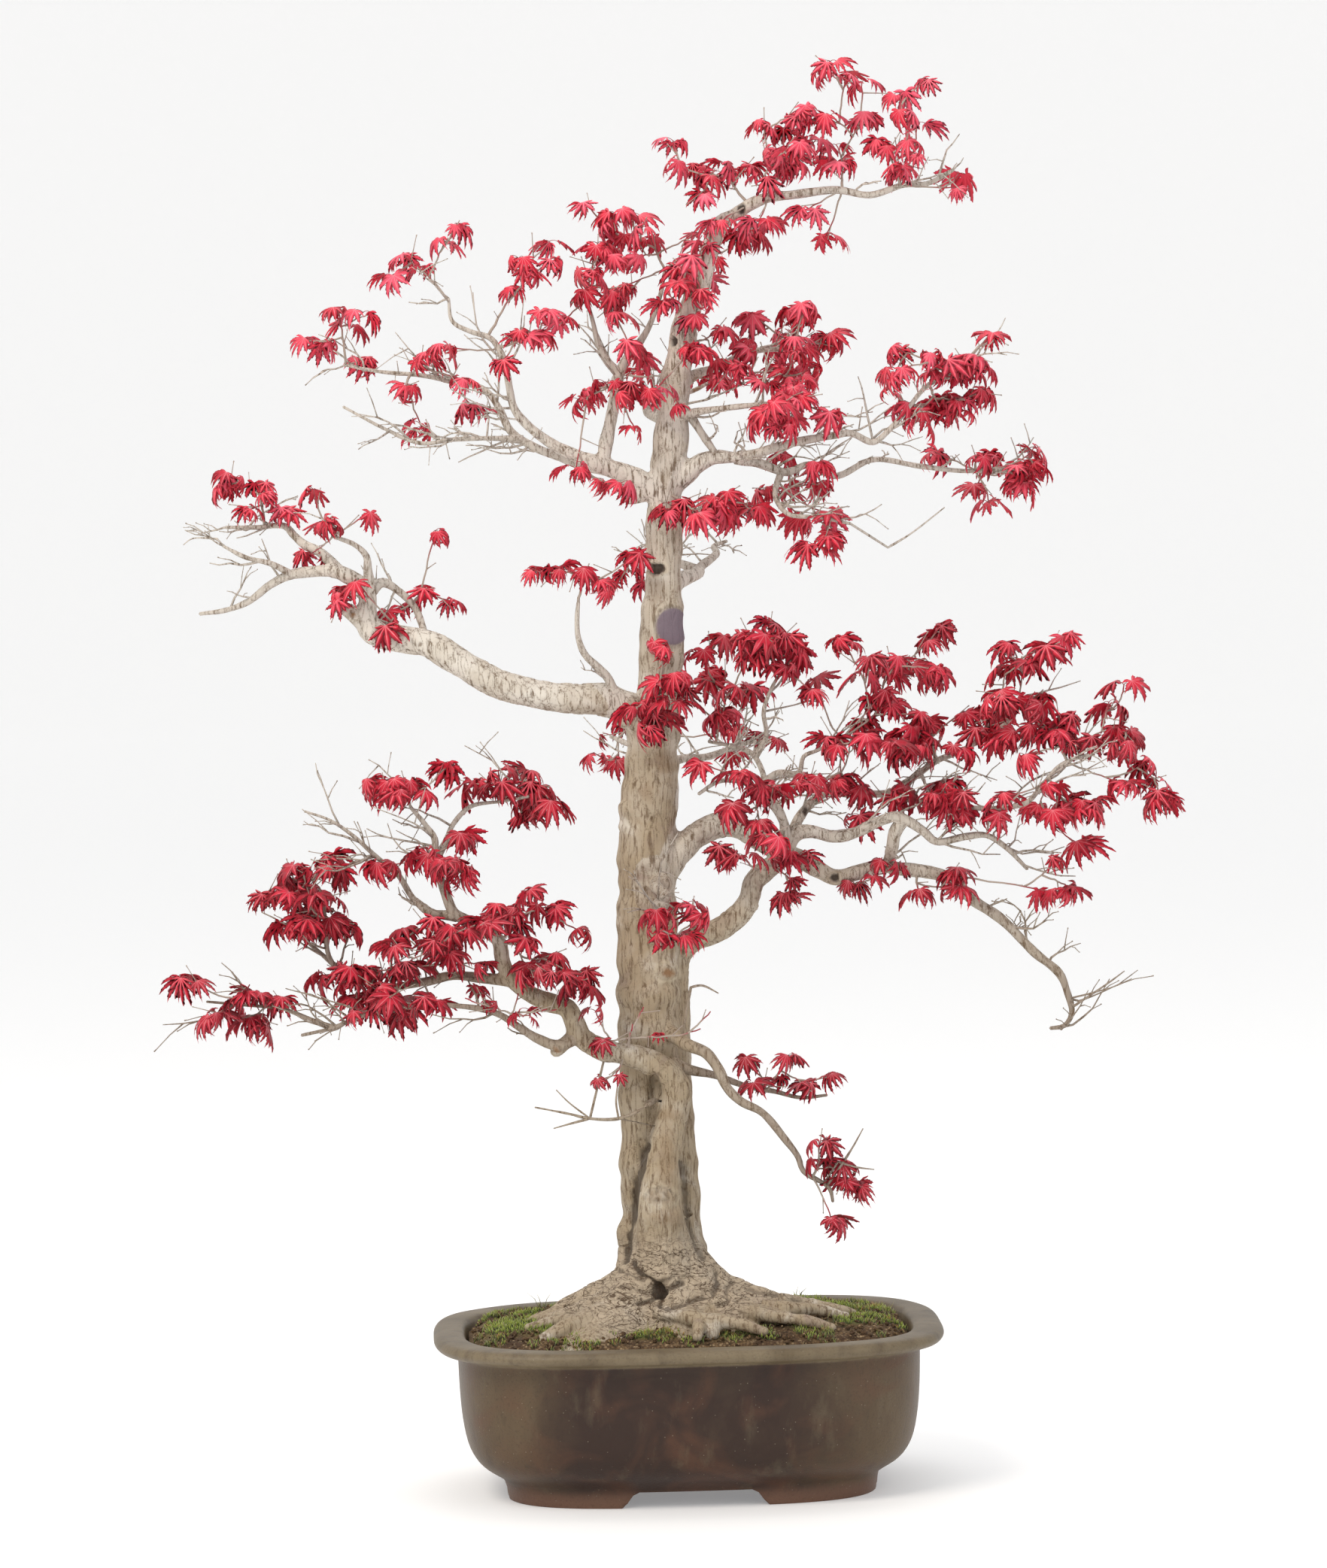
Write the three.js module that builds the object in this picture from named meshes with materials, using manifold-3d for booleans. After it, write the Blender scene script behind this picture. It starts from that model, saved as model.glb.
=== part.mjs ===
// Deshojo Japanese maple bonsai in an unglazed stoneware pot, in millimetres, +Z up.
// The tree was surveyed from five metres in front of it, on the upright plane through its trunk.
// In every list below x is across, y is depth behind that plane and z is height above the ground,
// as they look from there, and r is a radius.

import * as THREE from 'three';
import { mergeVertices } from 'three/addons/utils/BufferGeometryUtils.js';
import Module from 'manifold-3d';

const wasm = await Module();
wasm.setup();

// Driving dimensions of the survey
const viewDistance = 5000;
const viewHeight = 890;
const treeLean = THREE.MathUtils.degToRad(1.25);

// Driving dimensions of the pot
const rimHalfWidth = 204;
const rimHalfDepth = 150;
const potHeight = 132;
const potYaw = THREE.MathUtils.degToRad(-2.5);
const planRoundness = 3.4;
const potSegments = 28;
const floorUnderside = 14;
const floorTop = 25;
const footGapBottom = 59;
const footGapTop = 46;
const sideGapBottom = 40;
const sideGapTop = 30;
const drainRadius = 12;
const drainOffset = 74;
const fitGap = 0.35;

// Driving dimensions of the drain screens
const screenSide = 42;
const screenThick = 1.2;
const screenHole = 7;
const screenPitch = 12;

// Driving dimensions of the soil
const soilEdgeInset = 27.5;
const soilEdgeHeight = 126;
const soilRise = 17;

// Driving dimensions of the leafy sprays
const leafLength = 27;
const leafThick = 2;
const leafWaist = 1.3;
const leafFold = 0.4;
const twigRootRadius = 1.7;
const twigForkRadius = 0.9;
const twigTipRadius = 0.65;
const twigSteps = 2;
const longRoute = 7;
const longRouteSteps = 0.66;
const guardGap = 0.3;
const springDepth = 4;
const springHold = 3;
const solidShare = 0.33;
const leafDroops = [0.55, 0.8, 0.3, 1.05];
const twigBows = [0, 1, -1, 2, -2];

// The trunk, its fused stems, its roots and its limbs, as centrelines [x, y, z, r].
// Each has the number of sides of its section first.
const woodRoutes = {
  trunk: [10, [
    [-30, 0, 100, 34], [-31, 0, 150, 33], [-31, 0, 178, 29.5], [-31, 1, 232, 26], [-33, 2, 304, 25],
    [-34, 4, 412, 24], [-35, 5, 472, 23.7], [-34, 6, 532, 23.2], [-31, 6, 592, 21.3], [-25, 5, 652, 18.3],
    [-22, 3, 741, 15], [-21, 1, 790, 14], [-18, -1, 820, 14.4], [-15, -3, 852, 12.9], [-12, -5, 892, 12],
    [-7, -7, 913, 11.2], [-5, -9, 932, 10.4], [6, -11, 962, 8.6], [13, -13, 986, 7.8], [22, -15, 1010, 6.6]]],
  apex: [5, [
    [16, -14, 996, 6], [24, -16, 1013, 6.2], [36, -17, 1020, 5.6], [46, -18, 1027, 5], [61, -20, 1033, 4.2],
    [79, -21, 1035, 3.7], [116, -22, 1039, 3.1], [142, -22, 1035, 2.7], [169, -20, 1043, 2.4],
    [187, -18, 1044, 2.1], [196, -16, 1048, 1.9], [208, -14, 1055, 1.5]]],
  frontStem: [7, [
    [-22, -24, 120, 28], [-22, -25, 172, 25], [-26, -24, 208, 20.5], [-27, -22, 244, 18.5],
    [-22, -20, 280, 16.5], [-15, -20, 304, 14.5], [-11, -24, 319, 12.4], [-17, -31, 332, 10.6],
    [-32, -36, 342, 10], [-48, -40, 348, 9.5], [-71, -43, 353, 9], [-88, -45, 363, 8.6], [-94, -46, 376, 8.2],
    [-99, -47, 386, 8], [-112, -48, 390, 7.6], [-130, -50, 398, 7], [-144, -51, 410, 6.5],
    [-151, -52, 424, 6], [-154, -52, 440, 5.5], [-167, -52, 449, 5.2], [-179, -51, 456, 4.8],
    [-190, -50, 463, 4.4], [-196, -49, 477, 4], [-201, -48, 491, 3.5], [-205, -47, 506, 3.1],
    [-205, -46, 522, 2.7], [-213, -44, 534, 2.1], [-224, -42, 547, 1.5]]],
  rearStem: [7, [
    [-10, 10, 120, 28], [-10, 11, 178, 24], [-11, 12, 232, 18.5], [-12, 14, 304, 14.5], [-13, 15, 352, 13],
    [-13, 17, 388, 12], [-13, 18, 412, 11], [-9, 18, 430, 10.5], [4, 17, 442, 9.6], [22, 15, 449, 9],
    [40, 12, 463, 9], [47, 10, 475, 8.6], [50, 9, 487, 8.3], [60, 8, 497, 8.2], [72, 7, 506, 8],
    [77, 6, 517, 7.2], [83, 5, 526, 6.6], [96, 3, 528, 5.8], [113, 0, 524, 5.2], [131, -4, 527, 4.8],
    [150, -7, 536, 4.6], [164, -8, 540, 4.4], [174, -8, 536, 4], [186, -8, 528, 3.6], [196, -8, 520, 3.2],
    [220, -10, 524, 2.8], [236, -11, 525, 2.4], [251, -12, 516, 2], [269, -12, 498, 1.5]]],
  limbLowRight: [6, [
    [-22, 4, 496, 12], [-8, 6, 513, 11], [3, 10, 524, 10.4], [19, 14, 532, 10.2], [34, 17, 533, 9.8],
    [49, 18, 525, 9], [67, 15, 514, 8], [85, 13, 507, 7.2], [101, 14, 498, 7], [116, 15, 491, 6.8],
    [133, 16, 495, 6.3], [150, 17, 500, 6], [168, 18, 498, 5.6], [192, 20, 495, 5.2], [211, 21, 489, 5],
    [223, 22, 475, 4.6], [248, 24, 458, 4.2], [275, 26, 431, 3.8], [295, 27, 414, 3.4], [301, 28, 400, 2.9],
    [305, 29, 382, 2.3], [299, 30, 372, 1.9], [288, 31, 370, 1.4]]],
  limbLink: [5, [
    [170, -7, 538, 4.2], [163, -3, 527, 4.6], [161, 5, 514, 4.8], [157, 14, 503, 4.6]]],
  limbMidLeft: [6, [
    [-32, 2, 606, 15], [-48, -4, 623, 14.6], [-67, -8, 633, 13.5], [-95, -11, 634, 12.6], [-128, -12, 639, 12],
    [-158, -12, 648, 11.6], [-189, -11, 666, 11.4], [-209, -10, 678, 11], [-228, -9, 681, 10.5],
    [-244, -8, 683, 10.2], [-256, -7, 690, 9.8], [-259, -6, 703, 8.4], [-258, -5, 715, 7.4],
    [-263, -4, 725, 6.8], [-274, -2, 732, 6.2], [-283, 0, 736, 5.4], [-299, 3, 736, 4.7], [-320, 6, 733, 4],
    [-336, 9, 725, 3.3], [-353, 12, 712, 2.7], [-371, 14, 705, 2.1], [-392, 15, 702, 1.5]]],
  stubMidLeft: [5, [[-257, -7, 692, 8], [-266, -8, 699, 7.6], [-275, -9, 706, 6.4]]],
  limbMidLeftRise: [5, [
    [-258, -5, 716, 5.6], [-257, -12, 726, 4.6], [-258, -17, 738, 3.4], [-259, -20, 748, 2.7],
    [-268, -24, 757, 2], [-286, -26, 764, 1.4]]],
  limbMidLeftFan: [5, [
    [-278, -1, 733, 5], [-289, 8, 745, 4.4], [-297, 15, 752, 4], [-308, 21, 757, 3.6], [-317, 26, 765, 3.1],
    [-324, 29, 772, 2.6], [-347, 31, 771, 1.9], [-371, 30, 771, 1.4]]],
  limbMidLeftLoop: [4, [
    [-257, -4, 720, 4.6], [-246, 4, 727, 3.6], [-233, 10, 720, 3], [-221, 12, 708, 2.8],
    [-215, 6, 694, 3], [-212, -6, 682, 3.2]]],
  twigMidLeftOuter: [4, [[-318, 6, 733, 2.6], [-335, -4, 742, 2.1], [-355, -10, 747, 1.8], [-373, -14, 756, 1.3]]],
  limbSmallLeft: [4, [
    [-60, -8, 630, 5.5], [-66, -14, 650, 3.6], [-74, -18, 659, 3], [-85, -22, 670, 2.7], [-90, -24, 683, 2.3],
    [-91, -25, 697, 2], [-90, -25, 711, 1.5]]],
  limbHighLeft: [5, [
    [-20, 0, 794, 11], [-37, -4, 806, 9.2], [-56, -8, 815, 8], [-71, -11, 820, 7.2], [-89, -14, 827, 5.5],
    [-110, -17, 837, 4.4], [-131, -20, 853, 3.8], [-141, -22, 866, 3.4], [-145, -23, 884, 3],
    [-149, -24, 904, 2.6], [-159, -25, 921, 2.3], [-176, -25, 927, 2], [-190, -24, 935, 1.7],
    [-193, -22, 953, 1.3]]],
  collarHighLeft: [5, [[-34, -2, 800, 8], [-45, -5, 797, 8], [-52, -7, 794, 5.5]]],
  limbHighLeftLow: [4, [
    [-64, -9, 818, 5.6], [-80, -2, 819, 4.4], [-104, 8, 827, 3.8], [-125, 16, 835, 3.5], [-144, 22, 848, 3.1],
    [-153, 26, 866, 2.8], [-165, 29, 881, 2.4], [-189, 32, 887, 2.1], [-215, 34, 892, 1.8],
    [-248, 35, 895, 1.6], [-275, 34, 900, 1.3]]],
  twigHighLeftBare: [3, [
    [-134, 19, 841, 2.8], [-160, 13, 842, 1.9], [-190, 6, 841, 1.8], [-215, 2, 838, 1.6], [-243, 0, 849, 1.4],
    [-277, 0, 867, 1.1]]],
  limbHighUpright: [5, [
    [-71, -10, 816, 6.4], [-68, -8, 837, 5.6], [-64, -5, 856, 5], [-60, -1, 878, 4.5], [-58, 2, 892, 4],
    [-67, 4, 904, 3], [-74, 5, 917, 2.4], [-78, 4, 934, 1.9], [-83, 2, 952, 1.3]]],
  limbHighUprightFork: [4, [
    [-59, 1, 888, 3.8], [-53, 8, 903, 3.3], [-44, 13, 914, 3], [-35, 16, 928, 2.6], [-29, 18, 942, 2.2],
    [-24, 18, 958, 1.8], [-21, 16, 976, 1.3]]],
  limbHighRight: [5, [
    [-17, 0, 803, 11], [-4, -4, 814, 8.8], [8, -7, 823, 7.6], [19, -10, 827, 6.4], [37, -14, 827, 4.4],
    [52, -17, 830, 3.8], [79, -20, 838, 3.4], [112, -22, 844, 3], [127, -21, 846, 2.8], [145, -19, 839, 2.5],
    [157, -17, 848, 2.3], [172, -13, 865, 2.1], [187, -9, 883, 1.9], [214, -4, 898, 1.7], [229, 0, 915, 1.3]]],
  limbHighRightLow: [4, [
    [36, -13, 826, 4], [55, -2, 822, 3.6], [76, 10, 815, 3.2], [94, 18, 821, 2.9], [115, 25, 812, 2.6],
    [145, 32, 825, 2.4], [181, 37, 820, 2.1], [217, 40, 816, 1.8], [247, 42, 817, 1.4]]],
  limbHighRightBrace: [4, [[-9, -6, 868, 4], [-1, -8, 860, 3.5], [9, -10, 845, 3.1], [20, -11, 829, 3]]],
  limbHighRightDrop: [3, [
    [72, 8, 816, 2.4], [67, -2, 797, 2], [77, -14, 782, 1.8], [103, -22, 779, 1.5], [127, -27, 774, 1.2]]],
  limbUpperRight: [4, [
    [-10, -4, 884, 5], [4, 6, 893, 4], [22, 16, 899, 3], [44, 24, 910, 2.5], [70, 29, 913, 2.1],
    [98, 31, 912, 1.6]]],
  limbUpperRightFront: [4, [
    [-12, -8, 858, 4], [5, -20, 863, 3], [27, -31, 866, 2.4], [57, -38, 869, 1.9], [92, -42, 871, 1.4]]],
  limbHeartRight: [4, [
    [79, 6, 518, 5.4], [86, 14, 538, 4.2], [106, 29, 558, 3.3], [133, 35, 558, 3.1], [163, 38, 560, 3],
    [179, 40, 572, 2.8], [197, 42, 585, 2.6], [215, 44, 592, 2.4], [232, 44, 602, 2.1], [253, 43, 616, 1.8],
    [268, 41, 637, 1.4]]],
  limbHeartRightLow: [4, [
    [158, 37, 559, 3.2], [178, 21, 553, 2.6], [196, 4, 549, 2.4], [220, -8, 547, 2.2], [250, -16, 547, 2.1],
    [268, -20, 551, 2], [280, -23, 564, 1.8], [295, -26, 581, 1.6], [318, -28, 590, 1.3]]],
  limbHeartFront: [4, [
    [77, 6, 516, 4.6], [73, -4, 538, 3.4], [53, -28, 560, 2.6], [40, -42, 568, 2.2], [22, -52, 568, 1.8],
    [6, -56, 558, 1.4]]],
  limbHeartRear: [4, [
    [78, 7, 517, 4.8], [72, 14, 542, 3.4], [60, 28, 562, 2.8], [57, 36, 576, 2.5], [49, 46, 590, 2.2],
    [34, 56, 596, 1.8], [14, 62, 600, 1.4]]],
  limbHeartRise: [3, [
    [59, 32, 568, 2.5], [70, 26, 575, 2.3], [86, 20, 575, 2.1], [90, 16, 588, 1.8], [101, 12, 593, 1.6],
    [119, 8, 602, 1.3]]],
  limbHeartHigh: [3, [
    [51, 44, 588, 2.1], [60, 38, 604, 1.9], [58, 32, 624, 1.7], [64, 26, 642, 1.5], [72, 22, 656, 1.2]]],
  limbLowLeftOuter: [5, [
    [-142, -50, 408, 5.6], [-166, -44, 410, 4.2], [-191, -36, 412, 3.7], [-215, -30, 407, 3.4],
    [-240, -25, 403, 3], [-262, -22, 407, 2.6], [-280, -20, 414, 2.3], [-290, -20, 428, 2],
    [-293, -20, 454, 1.8], [-294, -18, 477, 1.3]]],
  twigLowLeftOuter: [3, [[-276, -21, 412, 2.4], [-300, -13, 433, 1.7], [-318, -8, 448, 1.3]]],
  limbLowLeftUnder: [4, [
    [-92, -45, 364, 5.4], [-106, -52, 356, 4.6], [-122, -58, 361, 3.7], [-137, -63, 370, 3.1],
    [-152, -66, 380, 2.7], [-167, -68, 385, 2.4], [-191, -70, 388, 2.1], [-215, -70, 388, 1.9],
    [-239, -68, 384, 1.8], [-263, -65, 380, 1.8], [-287, -60, 370, 1.7], [-312, -56, 364, 1.3]]],
  stubLowLeft: [5, [[-96, -47, 362, 5.8], [-106, -49, 353, 5.4], [-110, -50, 350, 4.8]]],
  twigLowLeftFar: [3, [
    [-286, -60, 370, 1.8], [-305, -44, 377, 1.6], [-326, -34, 385, 1.5], [-353, -28, 388, 1.3],
    [-388, -26, 391, 1.1]]],
  limbLowLeftHigh: [4, [
    [-188, -50, 460, 3.8], [-209, -40, 463, 3.2], [-223, -33, 475, 2.6], [-235, -28, 494, 2.2],
    [-250, -24, 506, 1.9], [-271, -20, 525, 1.5], [-289, -18, 537, 1.2], [-309, -16, 544, 1]]],
  limbLowLeftBack: [4, [
    [-205, -47, 504, 3], [-196, -30, 520, 2.4], [-190, -12, 534, 2.1], [-176, 2, 548, 1.8], [-152, 12, 552, 1.5],
    [-130, 18, 556, 1.2]]],
  limbLowRightFront: [4, [
    [-16, -14, 366, 7], [-8, -26, 360, 5.4], [-2, -32, 356, 5], [12, -38, 350, 4.6], [22, -42, 337, 4.2],
    [29, -44, 322, 4], [40, -46, 311, 3.6], [57, -48, 302, 3.2], [75, -50, 281, 2.8], [86, -51, 266, 2.4],
    [90, -52, 255, 2.2], [111, -52, 241, 1.7], [114, -52, 230, 1.2]]],
  limbLowRightSide: [4, [
    [-16, -16, 340, 6], [0, -14, 336, 3.8], [19, -8, 332, 3], [45, -2, 323, 2.4], [67, 2, 319, 2],
    [88, 4, 314, 1.6], [109, 4, 316, 1.2]]],
  limbBackLow: [5, [
    [-26, 14, 556, 11], [-20, 34, 568, 8.6], [-24, 60, 576, 6.8], [-38, 86, 574, 5.4], [-46, 112, 582, 4.4],
    [-40, 138, 594, 3.4], [-50, 160, 598, 2.6], [-64, 182, 604, 1.6]]],
  limbBackLowFork: [4, [
    [-30, 74, 576, 4.6], [-8, 92, 586, 3.4], [14, 108, 588, 2.8], [34, 126, 596, 2.1], [52, 148, 600, 1.4]]],
  limbBackMid: [5, [
    [-22, 6, 712, 9], [-10, 26, 728, 6.6], [4, 48, 734, 5.2], [8, 74, 740, 4.1], [20, 98, 750, 3.1],
    [18, 122, 756, 2.2], [28, 140, 760, 1.5]]],
  limbBackMidFork: [4, [
    [6, 60, 736, 3.8], [-14, 78, 744, 2.9], [-34, 92, 746, 2.3], [-52, 110, 752, 1.5]]],
  limbBackHigh: [4, [
    [-14, 2, 846, 7], [-22, 22, 856, 4.8], [-34, 42, 862, 3.6], [-38, 62, 872, 2.8], [-52, 82, 878, 2],
    [-66, 96, 884, 1.4]]],
  limbBackHighFork: [4, [[-34, 44, 864, 3], [-16, 60, 874, 2.4], [2, 76, 880, 1.9], [14, 94, 886, 1.3]]],
  limbFrontMid: [4, [
    [-22, -12, 486, 8], [-28, -30, 484, 5], [-20, -48, 476, 4], [-28, -68, 470, 3.2], [-20, -86, 468, 2.4],
    [-30, -104, 464, 1.5]]],
  rootLeft: [6, [
    [-34, -2, 168, 22], [-66, -6, 154, 18], [-92, -10, 143, 14], [-118, -14, 133, 10], [-142, -14, 122, 7]]],
  rootLeftFront: [6, [
    [-34, -12, 160, 22], [-56, -40, 146, 17], [-76, -62, 136, 13], [-100, -78, 127, 9], [-120, -88, 118, 6]]],
  rootFront: [5, [[-22, -26, 150, 20], [-12, -56, 140, 14], [8, -78, 132, 10], [18, -98, 122, 7]]],
  rootRightFront: [6, [
    [-8, -14, 158, 22], [24, -38, 148, 16], [52, -52, 139, 11], [82, -56, 132, 8], [106, -68, 122, 6]]],
  rootRight: [6, [
    [-8, 4, 166, 24], [26, 0, 157, 18], [54, -2, 149, 14], [82, 4, 142, 11], [108, 2, 135, 8], [132, 10, 124, 6]]],
  rootBackRight: [5, [[-10, 10, 160, 20], [16, 40, 146, 13], [40, 66, 136, 9], [66, 84, 124, 6]]],
  rootBack: [5, [[-22, 12, 158, 22], [-28, 44, 145, 14], [-20, 74, 134, 9], [-28, 98, 122, 6]]],
  rootBackLeft: [5, [[-34, 8, 158, 20], [-64, 36, 144, 13], [-92, 56, 133, 9], [-116, 70, 121, 6]]],
};

// The leafy sprays. Each is a list of the ends of its shoots [x, y, z], where a pair of leaves stands.
// The solids have about a third of them, out to the furthest tips.
const sprays = {
  apex_left: [
    [26, -22, 1060], [22, -30, 1019], [-12, -38, 1064], [7, -30, 1052], [-16, -30, 1082], [37, 4, 1006]],
  apex_inner: [
    [57, -26, 1050], [56, -38, 1022], [66, -36, 1072], [78, -8, 1052], [60, -26, 1094], [104, -12, 1078]],
  apex_crown: [
    [120, -14, 1061], [116, -6, 1078], [136, -20, 1104], [126, -36, 1130], [104, -24, 1132],
    [102, -36, 1026]],
  apex_right: [
    [164, -36, 1058], [146, -32, 1072], [184, -30, 1128], [168, -38, 1112], [206, -22, 1040],
    [181, -8, 1066]],
  crown_left: [
    [-32, 24, 1000], [-46, 14, 988], [-68, 10, 1018], [-46, 24, 1019], [-54, 42, 962], [-82, 6, 1030],
    [26, 22, 984], [40, 30, 1002], [4, 36, 998]],
  crown_left_low: [
    [-82, -14, 976], [-62, -20, 984], [-104, -12, 940], [-74, -18, 998], [-66, -26, 934], [-88, -8, 962]],
  crown_front: [
    [-10, -44, 966], [-27, -40, 952], [12, -46, 950], [-4, -42, 988]],
  upright_low: [
    [-68, -26, 886], [-57, -36, 871], [-40, -22, 880], [-40, -6, 911], [-48, -36, 848], [-86, -28, 880],
    [-74, -36, 808], [-58, -42, 806], [-96, -34, 812]],
  trunk_front_high: [
    [6, -40, 914], [-12, -38, 912], [-8, -46, 872], [4, -38, 936], [-22, -40, 872], [22, -32, 930]],
  left_high_outer: [
    [-214, -16, 978], [-200, -30, 996], [-245, -8, 967], [-226, -12, 989], [-188, -36, 1014]],
  left_high_inner: [
    [-140, -34, 962], [-128, -42, 974], [-104, -42, 988], [-144, -44, 985], [-120, -2, 996]],
  left_mid: [
    [-133, -46, 924], [-116, -52, 927], [-190, -50, 918], [-158, -54, 909], [-112, -44, 948]],
  left_far: [
    [-281, 34, 944], [-262, 26, 942], [-306, 30, 926], [-288, 22, 921], [-256, 52, 902], [-269, 44, 932]],
  left_low: [
    [-227, 18, 882], [-218, 24, 899], [-206, 42, 848], [-212, 8, 908], [-182, 14, 884], [-176, 46, 868]],
  right_high: [
    [85, 24, 915], [70, 46, 918], [103, 28, 932], [87, 14, 942], [52, 38, 940], [50, 48, 919]],
  right_high_front: [
    [46, -4, 893], [67, 2, 897], [24, -20, 908], [82, -6, 896], [98, 8, 899], [40, -14, 898]],
  right_mid_front: [
    [82, -56, 882], [95, -60, 874], [112, -46, 870], [82, -50, 862], [49, -56, 862], [64, -48, 866]],
  right_low: [
    [67, 20, 802], [88, 26, 806], [112, -40, 765], [76, 34, 826], [103, -42, 828], [97, -34, 763]],
  trunk_right: [
    [-6, -32, 792], [11, -34, 794], [30, -26, 791], [-22, -38, 784], [44, -18, 791]],
  right_far_high: [
    [200, -24, 902], [186, -28, 908], [240, -4, 928], [196, -22, 896], [163, -26, 900], [226, -16, 900]],
  right_far_low: [
    [196, 4, 871], [181, -2, 868], [232, 12, 876], [219, 10, 868], [160, 0, 870], [206, 16, 861]],
  right_shelf: [
    [228, 34, 828], [196, 42, 832], [268, 44, 828], [254, 36, 822], [262, 52, 807], [240, 56, 794]],
  mid_left_outer: [
    [-345, 24, 806], [-335, 18, 801], [-371, 38, 799], [-358, 36, 812], [-342, 14, 782], [-325, 26, 785]],
  mid_left_inner: [
    [-287, -36, 777], [-296, -28, 768], [-262, -34, 773], [-305, 12, 752], [-302, -24, 797]],
  mid_left_loop: [
    [-222, 22, 711], [-203, 26, 714], [-209, 18, 729], [-242, 12, 701], [-204, 10, 776], [-246, -12, 688],
    [-280, -14, 722], [-272, -22, 724], [-288, -22, 716]],
  small_pad: [
    [-84, -30, 737], [-69, -26, 729], [-119, -22, 746], [-104, -34, 741], [-55, -32, 750]],
  heart_trunk_front: [
    [-22, -40, 649], [-35, -38, 637], [-26, -38, 677], [-17, -48, 631], [-46, -42, 626], [-28, -44, 614]],
  heart_front: [
    [55, -42, 566], [54, -54, 536], [84, -40, 565], [70, -48, 566], [14, -66, 580], [36, -62, 552]],
  heart_high: [
    [22, 50, 622], [16, 60, 648], [42, 26, 677], [28, 54, 650], [6, 50, 671], [19, 58, 680], [79, 12, 660],
    [56, 32, 671], [66, 20, 690], [52, 18, 684], [94, 6, 643], [84, 18, 683]],
  heart_mid: [
    [124, -16, 597], [118, 4, 570], [124, 16, 676], [137, -8, 602], [136, 8, 663], [100, -6, 575]],
  heart_right_high: [
    [157, 18, 631], [142, 24, 618], [150, 28, 657], [168, 32, 664], [184, 54, 675], [196, 42, 654]],
  heart_right: [
    [190, 26, 603], [168, 2, 600], [217, 40, 625], [193, 34, 614], [229, 34, 612], [241, 50, 621],
    [136, 12, 544], [136, 16, 564], [172, 14, 558], [157, 22, 552], [193, -20, 558], [205, -12, 548]],
  heart_far_high: [
    [257, 34, 633], [241, 28, 641], [264, 46, 667], [253, 36, 658], [296, 34, 682], [280, 40, 674]],
  heart_far: [
    [289, -22, 609], [271, -14, 619], [304, -18, 619], [280, -28, 625], [323, -26, 607], [256, 10, 600],
    [343, -26, 605], [334, -20, 634], [376, -34, 566], [361, -32, 583], [346, -12, 649], [349, -44, 564]],
  heart_far_low: [
    [290, -38, 565], [306, -42, 549], [245, -28, 546], [295, -46, 550], [322, -46, 550], [217, -24, 552]],
  low_right_shelf: [
    [182, 4, 481], [160, 4, 498], [138, -2, 486], [151, -8, 489], [221, 4, 498], [204, 0, 490],
    [293, -18, 480], [304, -10, 478], [296, -18, 508]],
  low_right_front: [
    [43, -26, 508], [27, -24, 513], [82, -14, 489], [73, -18, 510], [70, -10, 480], [86, -22, 516]],
  trunk_mid_front: [
    [-24, -68, 446], [-32, -58, 458], [10, -60, 458], [-6, -64, 445], [-30, -116, 472], [-3, -52, 470]],
  low_left_crown: [
    [-228, -44, 568], [-215, -36, 562], [-254, -34, 567], [-239, -46, 573], [-198, -34, 574]],
  low_left_crown_right: [
    [-154, 8, 568], [-167, 14, 568], [-128, 16, 568], [-182, 6, 567], [-108, 20, 556], [-122, 28, 560]],
  low_left_mid: [
    [-209, -60, 508], [-197, -66, 508], [-242, -38, 499], [-182, -62, 520], [-182, -70, 501]],
  low_left_far: [
    [-311, -10, 500], [-299, -6, 488], [-344, -4, 475], [-323, 0, 488], [-293, -16, 500], [-314, -8, 484],
    [-326, -20, 457], [-308, -24, 451], [-281, -30, 448], [-293, -32, 452], [-284, -38, 475]],
  low_left_heart: [
    [-140, -68, 454], [-158, -72, 466], [-107, -62, 464], [-134, -62, 472], [-89, -58, 452]],
  low_left_heart_low: [
    [-132, -74, 442], [-134, -70, 427], [-107, -72, 418], [-116, -66, 433], [-89, -68, 409]],
  low_left_shelf: [
    [-194, -50, 430], [-191, -54, 451], [-227, -46, 448], [-209, -50, 454], [-161, -60, 433],
    [-272, -38, 414], [-260, -42, 417], [-286, -36, 410], [-269, -34, 399], [-251, -32, 418]],
  low_left_under: [
    [-215, -84, 393], [-203, -80, 391], [-245, -82, 394], [-233, -88, 392], [-275, -78, 385]],
  low_left_tips: [
    [-341, -34, 396], [-326, -38, 393], [-371, -36, 391], [-356, -40, 399], [-404, -20, 405]],
  low_left_base: [
    [-137, -80, 385], [-107, -76, 388], [-155, -88, 391], [-116, -82, 384], [-185, -82, 400]],
  trunk_foot: [
    [-47, -64, 373], [-59, -60, 366], [-80, -64, 379], [-71, -58, 361], [-30, -54, 384], [-21, -58, 364],
    [-77, -50, 329], [-59, -58, 330], [18, -42, 383], [-1, -50, 369]],
  front_right: [
    [66, -10, 327], [45, -14, 341], [84, -14, 325], [56, -18, 328], [111, -6, 329], [78, -4, 352]],
  front_right_low: [
    [104, -62, 262], [101, -54, 277], [134, -50, 236], [118, -54, 259], [109, -60, 220], [128, -60, 249]],
  back_low: [
    [-50, 176, 614], [-72, 196, 606], [-30, 186, 608], [-60, 160, 588], [-76, 120, 592], [52, 166, 612],
    [68, 150, 598], [34, 176, 606], [30, 146, 584]],
  back_mid: [
    [-50, 112, 735], [-36, 134, 728], [10, 152, 788], [28, 146, 786], [-6, 164, 782], [-62, 120, 724]],
  back_high: [
    [-66, 104, 886], [-50, 118, 890], [-84, 106, 884], [0, 96, 896], [16, 108, 890], [30, 100, 888]],
};

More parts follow.
